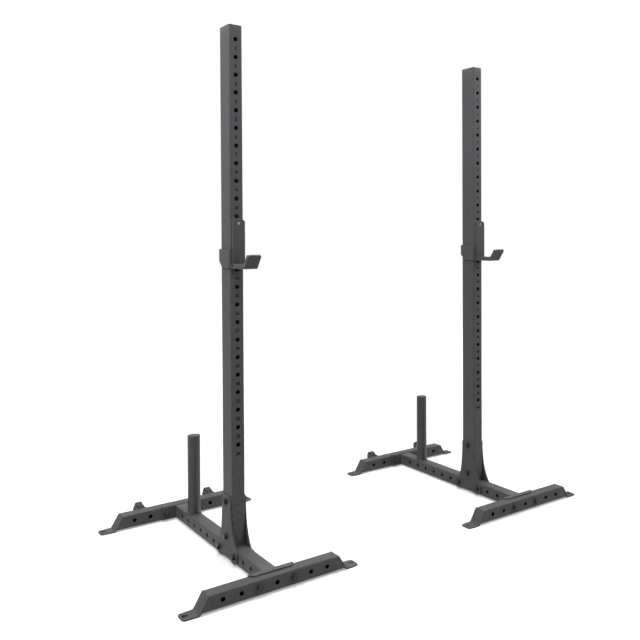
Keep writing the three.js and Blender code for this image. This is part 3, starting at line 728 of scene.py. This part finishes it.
class STAND_OT_uprights(bpy.types.Operator):
    """Drilled tubes of the uprights, with their plugs"""
    bl_idname = "squat_stand.uprights"
    bl_label = "Uprights"

    def execute(self, context):
        size = sizes()
        for side in SIDES:
            lo, hi, mid = middle_of(f"{side}_upright")
            holes = hi[2] - size.top_margin - size.pitch * np.arange(size.holes)
            place = along("zxy", (mid[0], mid[1], 0))
            half = (hi - lo) / 2
            tube = drilled_tube(place, lo[2], hi[2], half[0], half[1], size.corner, holes)
            dress(tube, f"{side}_upright_tube", powder_coat, f"{side}_stand", f"{side}_upright")
            self.plug(side)
        return {"FINISHED"}

    def plug(self, side):
        """A lid with a rounded rim, and its skirt inside the tube."""
        size = sizes()
        lo, hi, mid = middle_of(f"{side}_upright_cap")
        half = (hi - lo) / 2
        lid, inset, lid_soft, skirt_soft, skirt_corner = 0.003, 0.0035, 0.0011, 0.0008, 0.0025
        outline = round_profile(half[0], half[1], size.corner)
        top = cut_plate([outline], lid, lid_soft, along("xyz", (mid[0], mid[1], hi[2] - lid / 2)))
        inner = round_profile(half[0] - inset, half[1] - inset, skirt_corner)
        depth = hi[2] - lid - lo[2]
        skirt = cut_plate([inner], depth, skirt_soft, along("xyz", (mid[0], mid[1], lo[2] + depth / 2)))
        plug = Shell(top, skirt)
        dress(plug, f"{side}_upright_plug", plug_plastic, f"{side}_stand", f"{side}_upright_cap")


class STAND_OT_numbers(bpy.types.Operator):
    """Numbers under the holes of both uprights"""
    bl_idname = "squat_stand.numbers"
    bl_label = "Numbers"

    def execute(self, context):
        size, lift = sizes(), 0.00006
        glyphs = [self.glyph(str(k + 1)) for k in range(size.holes)]
        for side in SIDES:
            lo, hi, mid = middle_of(f"{side}_upright")
            shell = Shell()
            for k, (points, faces) in enumerate(glyphs):
                level = hi[2] - size.top_margin - (k + 0.5) * size.pitch
                shell.add(np.stack([
                    mid[0] + points[:, 0], lo[1] - lift - points[:, 2], level + points[:, 1]], 1), faces)
            dress(shell, f"{side}_numbers", number_ink, f"{side}_stand", even=False)
        return {"FINISHED"}

    def glyph(self, text):
        """The outline of a number as a thin raised mesh, centred on its own middle."""
        flatten = 0.012
        curve = bpy.data.curves.new("number", "FONT")
        curve.body, curve.size = text, 1.0
        curve.align_x, curve.align_y = "CENTER", "CENTER"
        curve.extrude, curve.resolution_u, curve.offset = 0.004, 3, 0.05
        holder = bpy.data.objects.new("number", curve)
        bpy.context.scene.collection.objects.link(holder)
        bpy.context.view_layer.update()
        mesh = bpy.data.meshes.new_from_object(holder.evaluated_get(bpy.context.evaluated_depsgraph_get()))
        points = np.array([v.co for v in mesh.vertices])
        faces = [tuple(p.vertices) for p in mesh.polygons]
        low, high = points.min(0), points.max(0)
        points -= (low + high) / 2
        points[:, :2] *= sizes().digit / (high[1] - low[1])
        points[:, 2] *= flatten
        bpy.data.objects.remove(holder)
        bpy.data.curves.remove(curve)
        bpy.data.meshes.remove(mesh)
        return points, faces


class STAND_OT_base(bpy.types.Operator):
    """Base rails, flanges and cross members, drilled, with their welds"""
    bl_idname = "squat_stand.base"
    bl_label = "Base"

    def execute(self, context):
        size = sizes()
        for side in SIDES:
            body = f"{side}_stand"
            up_mid = middle_of(f"{side}_upright")[2]
            lo, hi, mid = middle_of(f"{side}_base_rail")
            steps = np.array([-4, -3, -2, -1, 1, 2, 3, 4, 5, 6, 7])
            place = along("yzx", (mid[0], up_mid[1], mid[2]))
            half = (hi - lo)[0] / 2
            rail = drilled_tube(
                place, lo[1] - up_mid[1], hi[1] - up_mid[1], half, half, size.base_corner, steps * size.pitch)
            dress(rail, f"{side}_rail_tube", powder_coat, body, f"{side}_base_rail")
            for end in ENDS:
                self.flange(side, end, body)
                self.cross_member(side, end, body)
            self.rail_welds(side, body, lo, hi, mid)
        return {"FINISHED"}

    def flange(self, side, end, body):
        """A plate bent over the top of the cross member, with the corners of its lip cut off."""
        lo, hi, mid = middle_of(f"{side}_{end}_flange")
        out = -1 if end == "front" else 1
        thick, fold, lip_run, lip_cut = 0.0047, 0.0045, 0.012, 0.017
        back = lo[1] if out > 0 else hi[1]
        lip = hi[2] - thick / 2
        path, normals = bent_path([(thick / 2, lo[2]), (thick / 2, lip), (hi[1] - lo[1], lip)], fold)
        width = TaperWidth((hi - lo)[0] / 2, path_length(path), lip_run, lip_cut)
        place = along("yzx", (mid[0], back, 0), out)
        plate = swept_plate(path, normals, width, thick, sizes().soft, place)
        dress(plate, f"{side}_{end}_flange_plate", powder_coat, body, f"{side}_{end}_flange")

    def cross_member(self, side, end, body):
        size = sizes()
        lo, hi, mid = middle_of(f"{side}_{end}_crossmember")
        half, half_b = (hi - lo)[0] / 2, (hi - lo)[2] / 2
        tube = drilled_tube(
            along("xzy", mid), size.slope / 2 - half, half - size.slope / 2, half_b, half_b, size.base_corner,
            size.pitch * np.arange(-3, 4), size.slope / (2 * half_b))
        dress(tube, f"{side}_{end}_cross_tube", powder_coat, body, f"{side}_{end}_crossmember")

    def rail_welds(self, side, body, lo, hi, mid):
        """A bead over the top and down the sides of the rail at each flange, and one round the post."""
        size = sizes()
        proud, set_back, clear, pivot, post_rise = 0.0004, 0.0012, 0.006, 0.02, 0.0009
        half = (hi - lo)[0] / 2 + proud
        section = round_profile(half, half, size.base_corner + proud, 5)
        beads = []
        for y in (lo[1] + set_back, hi[1] - set_back):
            points = np.stack([mid[0] + section[:, 0], np.full(len(section), y), mid[2] + section[:, 1]], 1)
            points = points[points[:, 2] > lo[2] + clear]
            points = points[np.argsort(np.arctan2(points[:, 2] - lo[2] - pivot, points[:, 0] - mid[0]))]
            beads.append(bead(points, points - np.array([mid[0], y, mid[2]]), size.bead * 0.8, False, 3))
        post_lo, post_hi, post = middle_of(f"{side}_weight_post")
        t = np.linspace(0, 2 * np.pi, 60, endpoint=False)
        outward = np.stack([np.cos(t), np.sin(t), 0 * t], 1)
        radius = (post_hi - post_lo)[0] / 2 + 2 * proud
        ring = np.array([post[0], post[1], hi[2] + post_rise]) + radius * outward
        beads.append(bead(ring, outward, size.bead, True, 5))
        dress(Shell(*beads), f"{side}_base_welds", powder_coat, body, smooth=60)


class TabWidth:
    """Half width along a foot plate: full, then drawn in by the round corners at its tip:
    half - radius + sqrt(radius^2 - (s - s0)^2)."""

    def __init__(self, half, total, radius):
        self.half, self.total, self.radius = half, total, radius
        self.start = total - radius
        self.rows = (self.start + radius * np.sin(np.radians(np.linspace(0, 88, 12)))).tolist()

    def __call__(self, run):
        past = np.clip(run - self.start, 0, self.radius)
        return self.half - self.radius + np.sqrt(np.maximum(self.radius ** 2 - past ** 2, 0))


class ChamferWidth:
    """Half width with straight chamfers over the first and last stretch of a plate."""

    def __init__(self, half, total, first, last):
        self.half, self.total, self.first, self.last = half, total, first, last
        self.rows = [first, total - last]

    def __call__(self, run):
        start = np.maximum(self.first - run, 0)
        end = np.maximum(run - (self.total - self.last), 0)
        return self.half - start - end


class TaperWidth:
    """Half width that shrinks by cut over the last run of a plate, in a straight line."""

    def __init__(self, half, total, run, cut):
        self.half, self.start, self.run, self.cut = half, total - run, run, cut
        self.rows = [self.start]

    def __call__(self, run):
        return self.half - self.cut * np.clip((run - self.start) / self.run, 0, 1)


def path_length(path):
    return float(np.linalg.norm(np.diff(path, axis=0), axis=1).sum())


class STAND_OT_feet(bpy.types.Operator):
    """Bent foot plates with their slotted tabs"""
    bl_idname = "squat_stand.feet"
    bl_label = "Foot plates"

    def execute(self, context):
        for side in SIDES:
            for end in ENDS:
                for number, out in ((1, -1), (2, 1)):
                    self.foot(side, end, number, out)
        return {"FINISHED"}

    def foot(self, side, end, number, out):
        """The path down the slope, round the bend and along the floor, in (x, z) away from the middle."""
        size, hook = sizes(), hook_sizes()
        node = f"{side}_{end}_foot_plate_{number}"
        lo, hi, mid = middle_of(node)
        cross_lo, cross_hi, cross = middle_of(f"{side}_{end}_crossmember")
        thick, rise, top = 0.005, (cross_hi - cross_lo)[2], cross_hi[2]
        bend, tip_radius, slot_back, slot_half, slot_radius = 0.0105, 0.015, 0.017, 0.004, 0.0055
        above, top_gap = 0.002, 0.0012
        off = (hook.gap + thick / 2) * math.hypot(size.slope, rise) / rise
        middle = (lambda z: (cross_hi - cross_lo)[0] / 2 + off - size.slope * (z - cross_lo[2]) / rise)
        tip = hi[0] - cross[0] if out > 0 else cross[0] - lo[0]
        path, normals = bent_path(
            [(middle(top + above), top + above), (middle(thick / 2), thick / 2), (tip, thick / 2)], bend)
        total = path_length(path)
        slot_at = total - slot_back
        plate = swept_plate(
            path, normals, TabWidth((hi - lo)[1] / 2, total, tip_radius), thick, size.soft,
            along("xzy", (cross[0], mid[1], 0), out),
            (slot_at - slot_half, slot_at + slot_half, slot_radius), top - top_gap)
        dress(plate, f"{side}_{end}_foot_{number}", powder_coat, f"{side}_stand", node)


class STAND_OT_gussets(bpy.types.Operator):
    """Gusset plates on both sides of each upright"""
    bl_idname = "squat_stand.gussets"
    bl_label = "Gussets"

    def execute(self, context):
        size = sizes()
        for side in SIDES:
            for number in (1, 2):
                node = f"{side}_gusset_{number}"
                lo, hi, mid = middle_of(node)
                rail = middle_of(f"{side}_base_rail")
                outline = self.outline(hi[2], rail[1][2], rail[2][2])
                plate = cut_plate([outline], hi[0] - lo[0], size.soft, along("yzx", (mid[0], mid[1], 0)))
                dress(plate, f"{side}_gusset_plate_{number}", powder_coat, f"{side}_stand", node)
        return {"FINISHED"}

    def outline(self, top, rail, middle):
        """The front half of the outline, whose flare starts higher, and the rear half, up to the crown."""
        front = self.half(top, middle, rail - 0.011, (0.042, rail + 0.032))
        rear = self.half(top, middle, rail - 0.021, (0.040, rail - 0.011))
        return np.concatenate([rear, front[1:][::-1] * np.array([-1, 1])])

    def half(self, top, middle, shoulder, waist):
        """From the arch between the lobes round one lobe, up the flare and round the top corner."""
        size = sizes()
        neck, lobe, flare, crown, arch_rise = 0.036, 0.025, top - 0.038, 0.014, 0.012
        low = middle - lobe
        return np.concatenate([
            bow((0, low + arch_rise), (size.pitch - lobe, low), (size.pitch, low), 14),
            arc(size.pitch, middle, lobe, 270, 360, 10)[1:],
            bow((size.pitch + lobe, shoulder), waist, (neck, flare), 14),
            arc(neck - crown, top - crown, crown, 0, 90, 8)])


class STAND_OT_bolts(bpy.types.Operator):
    """Hexagon bolts, washers and nuts"""
    bl_idname = "squat_stand.bolts"
    bl_label = "Bolts"

    def execute(self, context):
        for side in SIDES:
            for number in range(1, 5):
                self.bolt(f"{side}_gusset_bolt_{number}", f"{side}_stand", "xyz", 1)
            for end, out in (("front", 1), ("rear", -1)):
                for number in (1, 2):
                    self.bolt(f"{side}_{end}_bolt_{number}", f"{side}_stand", "yzx", out)
        return {"FINISHED"}

    def bolt(self, node, body, axes, out):
        """Head, two washers, shank and nut in the same places as the solid's, along the bolt's axis."""
        lo, hi, mid = middle_of(node)
        axis = "xyz".index(axes[0])
        length = (hi - lo)[axis]
        washer = (hi - lo)[(axis + 1) % 3] / 2
        start = mid.copy()
        start[axis] = lo[axis] if out > 0 else hi[axis]
        place = along(axes, start, out)
        head, thick, nut, tail, flats, shank = 0.008, 0.0025, 0.010, 0.004, 0.019, 0.006
        rim, bore, slack, overlap = 0.0004, shank + 0.0005, 0.0001, 0.001
        end_run, end_cut = 0.0012, 0.0013
        far = length - tail - nut - thick
        shell = Shell()
        hexagon(shell, place, flats, head, 0.0)
        for low in (head, far):
            high = low + thick
            lathe(shell, place, [(bore, low), (washer - rim, low), (washer, low + rim), (washer, high - rim),
                                 (washer - rim, high), (bore, high)])
        nut_low = far + thick
        hexagon(shell, place, flats, nut_low, nut_low + nut)
        lathe(shell, place, [(shank - slack, head - overlap), (shank - slack, nut_low + overlap)], 24)
        ridges = threads(nut_low + nut - overlap, length - end_run, shank - slack)
        lathe(shell, place, np.concatenate([ridges, [(shank - end_cut, length)]]))
        dress(shell, node + "_set", black_bolts, body, node, 30)


class STAND_OT_posts(bpy.types.Operator):
    """Plate storage posts and their plugs"""
    bl_idname = "squat_stand.posts"
    bl_label = "Posts"

    def execute(self, context):
        for side in SIDES:
            body = f"{side}_stand"
            lo, hi, mid = middle_of(f"{side}_weight_post")
            place = along("zxy", (mid[0], mid[1], 0))
            radius, wall, rim = (hi - lo)[0] / 2, 0.003, 0.0005
            inner, low, high = radius - wall, lo[2], hi[2]
            section = [(radius - rim, low), (radius, low + rim), (radius, high - rim), (radius - rim, high),
                       (inner + rim, high), (inner, high - rim), (inner, low + rim), (inner + rim, low)]
            tube = Shell()
            tube.grid(turned(section, place, 96), close_u=True, close_v=True)
            dress(tube, f"{side}_post_tube", post_paint, body, f"{side}_weight_post")
            lo, hi, mid = middle_of(f"{side}_weight_post_cap")
            soft, lid, skirt = 0.0014, 0.003, radius - 0.0035
            crown = arc(radius - soft, hi[2] - soft, soft, 0, 90, 5)
            plug = Shell()
            lathe(plug, place, np.concatenate([
                [(skirt, lo[2]), (skirt, hi[2] - lid), (radius, hi[2] - lid)], crown]), 96)
            dress(plug, f"{side}_post_plug", plug_plastic, body, f"{side}_weight_post_cap")
        return {"FINISHED"}


class STAND_OT_hooks(bpy.types.Operator):
    """Hooks for the bar: bent steel, plastic liners and their screws"""
    bl_idname = "squat_stand.hooks"
    bl_label = "Hooks"

    def execute(self, context):
        for side in SIDES:
            self.bracket(side)
            self.back_liner(side)
            self.seat_liner(side)
        return {"FINISHED"}

    def origin(self, side):
        """The pin's axis where it leaves the front face of the upright."""
        lo, hi, mid = middle_of(f"{side}_upright")
        size = sizes()
        return np.array([mid[0], lo[1], hi[2] - size.top_margin - (hook_sizes().number - 1) * size.pitch])

    def bracket(self, side):
        """One plate bent into back, shelf and lip, a side flange bent round the upright, and the pin."""
        size, hook = sizes(), hook_sizes()
        at = self.origin(side)
        steel, bend, half, top_cut, lip_cut = hook.steel, 0.007, 0.025, 0.008, 0.006
        side_gap, wing_start = 0.0015, 0.020
        y = -hook.gap - steel / 2
        shelf = steel / 2 - hook.drop
        lean = math.hypot(hook.lip_rise, hook.lip_lean)
        lip_foot = steel / 2 * (lean - hook.lip_lean) / hook.lip_rise - hook.reach
        lip_top = (lip_foot - hook.lip_lean, shelf + hook.lip_rise)
        path, normals = bent_path([(y, hook.top), (y, shelf), (lip_foot, shelf), lip_top], bend)
        width = ChamferWidth(half, path_length(path), top_cut, lip_cut)
        back = swept_plate(path, normals, width, steel, size.soft, along("yzx", at))
        wing_x = half + side_gap + steel / 2
        wing_end = y + hook.wing_reach + steel / 2
        path, normals = bent_path([(-wing_start, y), (-wing_x, y), (-wing_x, wing_end)], bend)
        height = hook.drop - hook.wing_top
        width = WingHeight(height / 2, path_length(path), hook.wing_cut)
        place = along("xyz", at - np.array([0, 0, hook.drop - height / 2]))
        wing = swept_plate(path, normals, width, steel, size.soft, place)
        pin, radius, chamfer, near, far = Shell(), 0.0075, 0.0015, -0.004, 0.034
        lathe(pin, along("yzx", at), [(radius, near), (radius, far - chamfer), (radius - chamfer, far)])
        steel_part = Shell(back, wing, pin)
        dress(steel_part, f"{side}_hook_steel", powder_coat, f"{side}_jcup", f"{side}_jcup_bracket")

    def back_liner(self, side):
        """A thick plate with cut corners and a counterbored screw."""
        at = self.origin(side)
        lo, hi, mid = middle_of(f"{side}_jcup_back_liner")
        half, cut, bore, soft, screw_rise = (hi - lo) / 2, 0.008, 0.0062, 0.0012, 0.037
        outline = bevel_outline(-half[0], half[0], lo[2], hi[2], cut)
        screw = at[2] + screw_rise
        t = 2 * np.pi * np.arange(32) / 32
        hole = np.stack([bore * np.cos(-t), screw + bore * np.sin(-t)], 1)
        place = along("xzy", (mid[0], mid[1], 0))
        plate = cut_plate([outline, hole], hi[1] - lo[1], soft, place)
        dress(plate, f"{side}_hook_back_liner", liner_plastic, f"{side}_jcup", f"{side}_jcup_back_liner")
        dome = [(0.0054, 0.0085), (0.0054, 0.0022), (0.0050, 0.0012), (0.0040, 0.0006), (0.0026, 0.0005),
                (0.0025, 0.0030)]
        head = Shell()
        lathe(head, along("yzx", (mid[0], lo[1], screw)), dome)
        dress(head, f"{side}_hook_screw", bright_screw, f"{side}_jcup")

    def seat_liner(self, side):
        """The section over the shelf and up the inside of the lip, carried across the hook."""
        at = self.origin(side)
        lo, hi, mid = middle_of(f"{side}_jcup_seat_liner")
        hook = hook_sizes()
        steel, gap, drop, rise = hook.steel, hook.gap, hook.drop, hook.lip_rise
        shelf_thick, lip_thick, back_liner, bend, below_lip = 0.010, 0.008, 0.012, 0.004, 0.003
        lean = math.hypot(rise, hook.lip_lean)
        floor = steel + gap - drop
        back = -gap - steel - gap - back_liner - gap
        inside = (lambda z: ((steel + gap) * lean - hook.lip_lean * (z + drop)) / rise - hook.reach)
        top = rise + steel - below_lip - drop
        across = lip_thick * lean / rise
        shelf = floor + shelf_thick
        corner = inside(shelf) + across
        scoop = bow((corner + bend, shelf), (corner, shelf), (inside(shelf + bend) + across, shelf + bend), 8)
        outline = np.concatenate([
            [(back, floor), (back, shelf)], scoop,
            [(inside(top) + across, top), (inside(top), top), (inside(floor + bend), floor + bend),
             (inside(floor) + bend, floor)]])
        plate = cut_plate([outline], (hi - lo)[0], 0.0010, along("yzx", (mid[0], at[1], at[2])))
        dress(plate, f"{side}_hook_seat_liner", liner_plastic, f"{side}_jcup", f"{side}_jcup_seat_liner", 30)


class WingHeight:
    """Half height of the side flange, whose lower edge rises by s over the last stretch of length cut:
    half - s / 2, with its middle lifted by s / 2."""

    def __init__(self, half, total, cut):
        self.half, self.start = half, total - cut
        self.rows = [self.start]

    def __call__(self, run):
        return self.half - self.shift(run)

    def shift(self, run):
        return np.maximum(run - self.start, 0) / 2


class STAND_OT_wheels(bpy.types.Operator):
    """Transport wheels and their forked brackets"""
    bl_idname = "squat_stand.wheels"
    bl_label = "Wheels"

    def execute(self, context):
        for side in SIDES:
            for number in (1, 2):
                self.wheel(side, number)
                self.bracket(side, number)
        return {"FINISHED"}

    def wheel(self, side, number):
        """A tyre with a rounded tread, a grooved face and a bored hub, turned about its axle."""
        node = f"{side}_wheel_{number}"
        lo, hi, mid = middle_of(node)
        half, radius, bore, soft = (hi - lo)[0] / 2, (hi - lo)[1] / 2, 0.0056, 0.004
        groove = half - 0.0015
        t = np.radians(np.linspace(0, 90, 7))
        face = [(bore, -half), (0.010, -half), (0.011, -groove), (0.0165, -groove), (0.0175, -half)]
        rim = [(radius - soft + soft * math.sin(a), -half + soft - soft * math.cos(a)) for a in t]
        left = face + rim
        right = [(r, -h) for r, h in left[::-1]]
        tyre = Shell()
        tyre.grid(turned(left + right, along("xyz", mid), 96), close_u=True, close_v=True)
        dress(tyre, f"{node}_tyre", wheel_rubber, f"{side}_wheel_body_{number}", node)

    def bracket(self, side, number):
        """Foot plate, two ears with round ends, and the axle bolt."""
        size = sizes()
        node = f"{side}_wheel_bracket_{number}"
        lo, hi, mid = middle_of(node)
        axle = middle_of(f"{side}_wheel_{number}")[2]
        thick, ear_radius, foot_half, flats = 0.0035, 0.013, 0.020, 0.0147
        axle_radius, axle_reach = 0.005, 0.018
        ear_x = 0.0135 + thick / 2
        top, bottom, back = middle_of(f"{side}_rear_crossmember")[1][2], lo[2], lo[1]
        outline = np.concatenate([
            [(back, bottom), (back + thick, bottom)],
            arc(axle[1], axle[2], ear_radius, -90, 90, 16),
            [(back, top)]])
        parts = [cut_plate([outline], thick, size.soft, along("yzx", (axle[0] + out * ear_x, 0, 0)))
                 for out in (-1, 1)]
        foot = round_outline(-foot_half, foot_half, bottom, top, 0.003)
        parts.append(cut_plate([foot], thick, size.soft, along("xzy", (axle[0], back + thick / 2, 0))))
        bolt, place = Shell(), along("xyz", axle)
        lathe(bolt, place, [(axle_radius, -axle_reach), (axle_radius, axle_reach)], 24)
        for out in (1, -1):
            hexagon(bolt, place, flats, out * (ear_x + thick / 2), out * (hi - lo)[0] / 2)
        dress(Shell(*parts, bolt), f"{node}_fork", powder_coat, f"{side}_stand", node)


# Studio

def seen_rays(tree):
    """One for the rays of the camera and for glossy and transmitted ones, and zero for the rest."""
    path = tree.nodes.new("ShaderNodeLightPath")
    seen = path.outputs["Is Camera Ray"]
    for kind in ("Is Glossy Ray", "Is Transmission Ray"):
        either = tree.nodes.new("ShaderNodeMath")
        either.operation = "MAXIMUM"
        tree.links.new(seen, either.inputs[0])
        tree.links.new(path.outputs[kind], either.inputs[1])
        seen = either.outputs["Value"]
    return seen


class STAND_OT_stage(bpy.types.Operator):
    """Camera, floor, backdrop and lamps"""
    bl_idname = "squat_stand.stage"
    bl_label = "Stage"

    def execute(self, context):
        self.camera()
        self.floor()
        self.world()
        self.lamps()
        bpy.context.scene.view_settings.view_transform = "Standard"
        return {"FINISHED"}

    def camera(self):
        """A camera fitted to the photograph: place, three turns, focal length and shift."""
        yaw, pitch, roll = (math.radians(v) for v in (38.600, 0.837, 0.185))
        image, focal, centre_x, centre_y, sensor = 640, 767.85, 430.0, 243.99, 36
        fwd = Vector((math.sin(yaw) * math.cos(pitch), math.cos(yaw) * math.cos(pitch), -math.sin(pitch)))
        right = Vector((math.cos(yaw), -math.sin(yaw), 0))
        down = fwd.cross(right)
        x_axis = math.cos(roll) * right + math.sin(roll) * down
        y_axis = -math.sin(roll) * right + math.cos(roll) * down
        data = bpy.data.cameras.new("camera")
        data.sensor_width = sensor
        data.lens = focal * sensor / image
        data.shift_x = (image / 2 - centre_x) / image
        data.shift_y = (centre_y - image / 2) / image
        data.clip_end = 100
        camera = bpy.data.objects.new("camera", data)
        turn = Matrix((x_axis, -y_axis, -fwd)).transposed().to_4x4()
        mid = middle_of("left_upright")[2]
        turn.translation = Vector((mid[0] - 1.16297, mid[1] - 2.59368, 1.17090))
        camera.matrix_world = turn
        bpy.context.scene.collection.objects.link(camera)
        bpy.context.scene.camera = camera

    def floor(self):
        """Pale for the camera and greyer for the light that it throws back, with its own glow for the camera,
        which grows from the middle outwards until the floor is as white as the backdrop."""
        n = Nodes("studio_floor")
        n.shader.inputs["Roughness"].default_value = 1.0
        n.shader.inputs["Specular IOR Level"].default_value = 0.0
        seen = seen_rays(n.tree)
        pale = n.blend(n.ramp(n.noise(1.5, 2), 0.3, 0.7, 0, 1), (0.8, 0.8, 0.8), (0.82, 0.82, 0.82))
        n.link(n.blend(seen, (0.35, 0.35, 0.35), pale), n.shader.inputs["Base Color"])
        n.shader.inputs["Emission Color"].default_value = (1, 1, 1, 1)
        away = n.add("ShaderNodeVectorMath", operation="LENGTH")
        n.link(n.place, away.inputs[0])
        glow = n.ramp(away.outputs["Value"], 1.4, 3.2, 0.3, 1.0)
        n.link(n.math("MULTIPLY", seen, glow), n.shader.inputs["Emission Strength"])
        data = bpy.data.meshes.new("floor")
        reach, level = 14.0, -0.0005
        corners = [(a * reach, b * reach, level) for a, b in ((-1, -1), (1, -1), (1, 1), (-1, 1))]
        data.from_pydata(corners, [], [(0, 1, 2, 3)])
        data.materials.append(n.material)
        floor = bpy.data.objects.new("floor", data)
        bpy.context.scene.collection.objects.link(floor)

    def world(self):
        world = bpy.data.worlds.new("studio")
        bpy.context.scene.world = world
        world.use_nodes = True
        tree = world.node_tree
        back = tree.nodes["Background"]
        seen = seen_rays(tree)
        strength = tree.nodes.new("ShaderNodeMapRange")
        strength.inputs["To Min"].default_value = 0.1
        strength.inputs["To Max"].default_value = 1.0
        tree.links.new(seen, strength.inputs["Value"])
        tree.links.new(strength.outputs["Result"], back.inputs["Strength"])
        back.inputs["Color"].default_value = (1, 1, 1, 1)

    def lamps(self):
        for name, where, target, width, height, power in (
                ("key", (-2.3, -0.1, 2.8), (-0.575, -0.139, 1.3), 0.9, 0.9, 50),
                ("fill", (2.4, -2.3, 2.9), (0.575, -0.139, 1.2), 1.4, 1.2, 58),
                ("side", (-1.3, -2.2, 2.9), (-0.575, -0.139, 1.4), 1.0, 1.0, 16),
                ("top", (0.0, 0.2, 4.4), (0.0, 0.0, 0.0), 2.6, 2.6, 140)):
            data = bpy.data.lights.new(name, "AREA")
            data.shape, data.size, data.size_y, data.energy = "RECTANGLE", width, height, power
            lamp = bpy.data.objects.new(name, data)
            lamp.location = where
            lamp.rotation_euler = (Vector(target) - Vector(where)).to_track_quat("-Z", "Y").to_euler()
            bpy.context.scene.collection.objects.link(lamp)


# Panel and registration

STEPS = (STAND_OT_uprights, STAND_OT_numbers, STAND_OT_base, STAND_OT_feet, STAND_OT_gussets,
         STAND_OT_bolts, STAND_OT_posts, STAND_OT_hooks, STAND_OT_wheels, STAND_OT_stage)


class STAND_PT_panel(bpy.types.Panel):
    """Lists the sizes, the finishes and every step of the stands"""
    bl_idname = "STAND_PT_panel"
    bl_label = "Squat Stand"
    bl_space_type = "VIEW_3D"
    bl_region_type = "UI"
    bl_category = "Squat Stand"

    def draw(self, context):
        for group in (context.scene.stand_sizes, context.scene.hook_sizes, context.scene.stand_colours):
            column = self.layout.column(align=True)
            for name in group.__annotations__:
                column.prop(group, name)
        for step in STEPS:
            self.layout.operator(step.bl_idname)


CLASSES = (StandSizes, HookSizes, StandColours) + STEPS + (STAND_PT_panel,)


def register():
    for cls in CLASSES:
        bpy.utils.register_class(cls)
    bpy.types.Scene.stand_sizes = PointerProperty(type=StandSizes)
    bpy.types.Scene.hook_sizes = PointerProperty(type=HookSizes)
    bpy.types.Scene.stand_colours = PointerProperty(type=StandColours)


def unregister():
    del bpy.types.Scene.stand_colours
    del bpy.types.Scene.hook_sizes
    del bpy.types.Scene.stand_sizes
    for cls in reversed(CLASSES):
        bpy.utils.unregister_class(cls)


def main():
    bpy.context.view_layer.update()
    register()
    for step in STEPS:
        group, name = step.bl_idname.split(".")
        getattr(getattr(bpy.ops, group), name)()


if __name__ == "__main__":
    main()
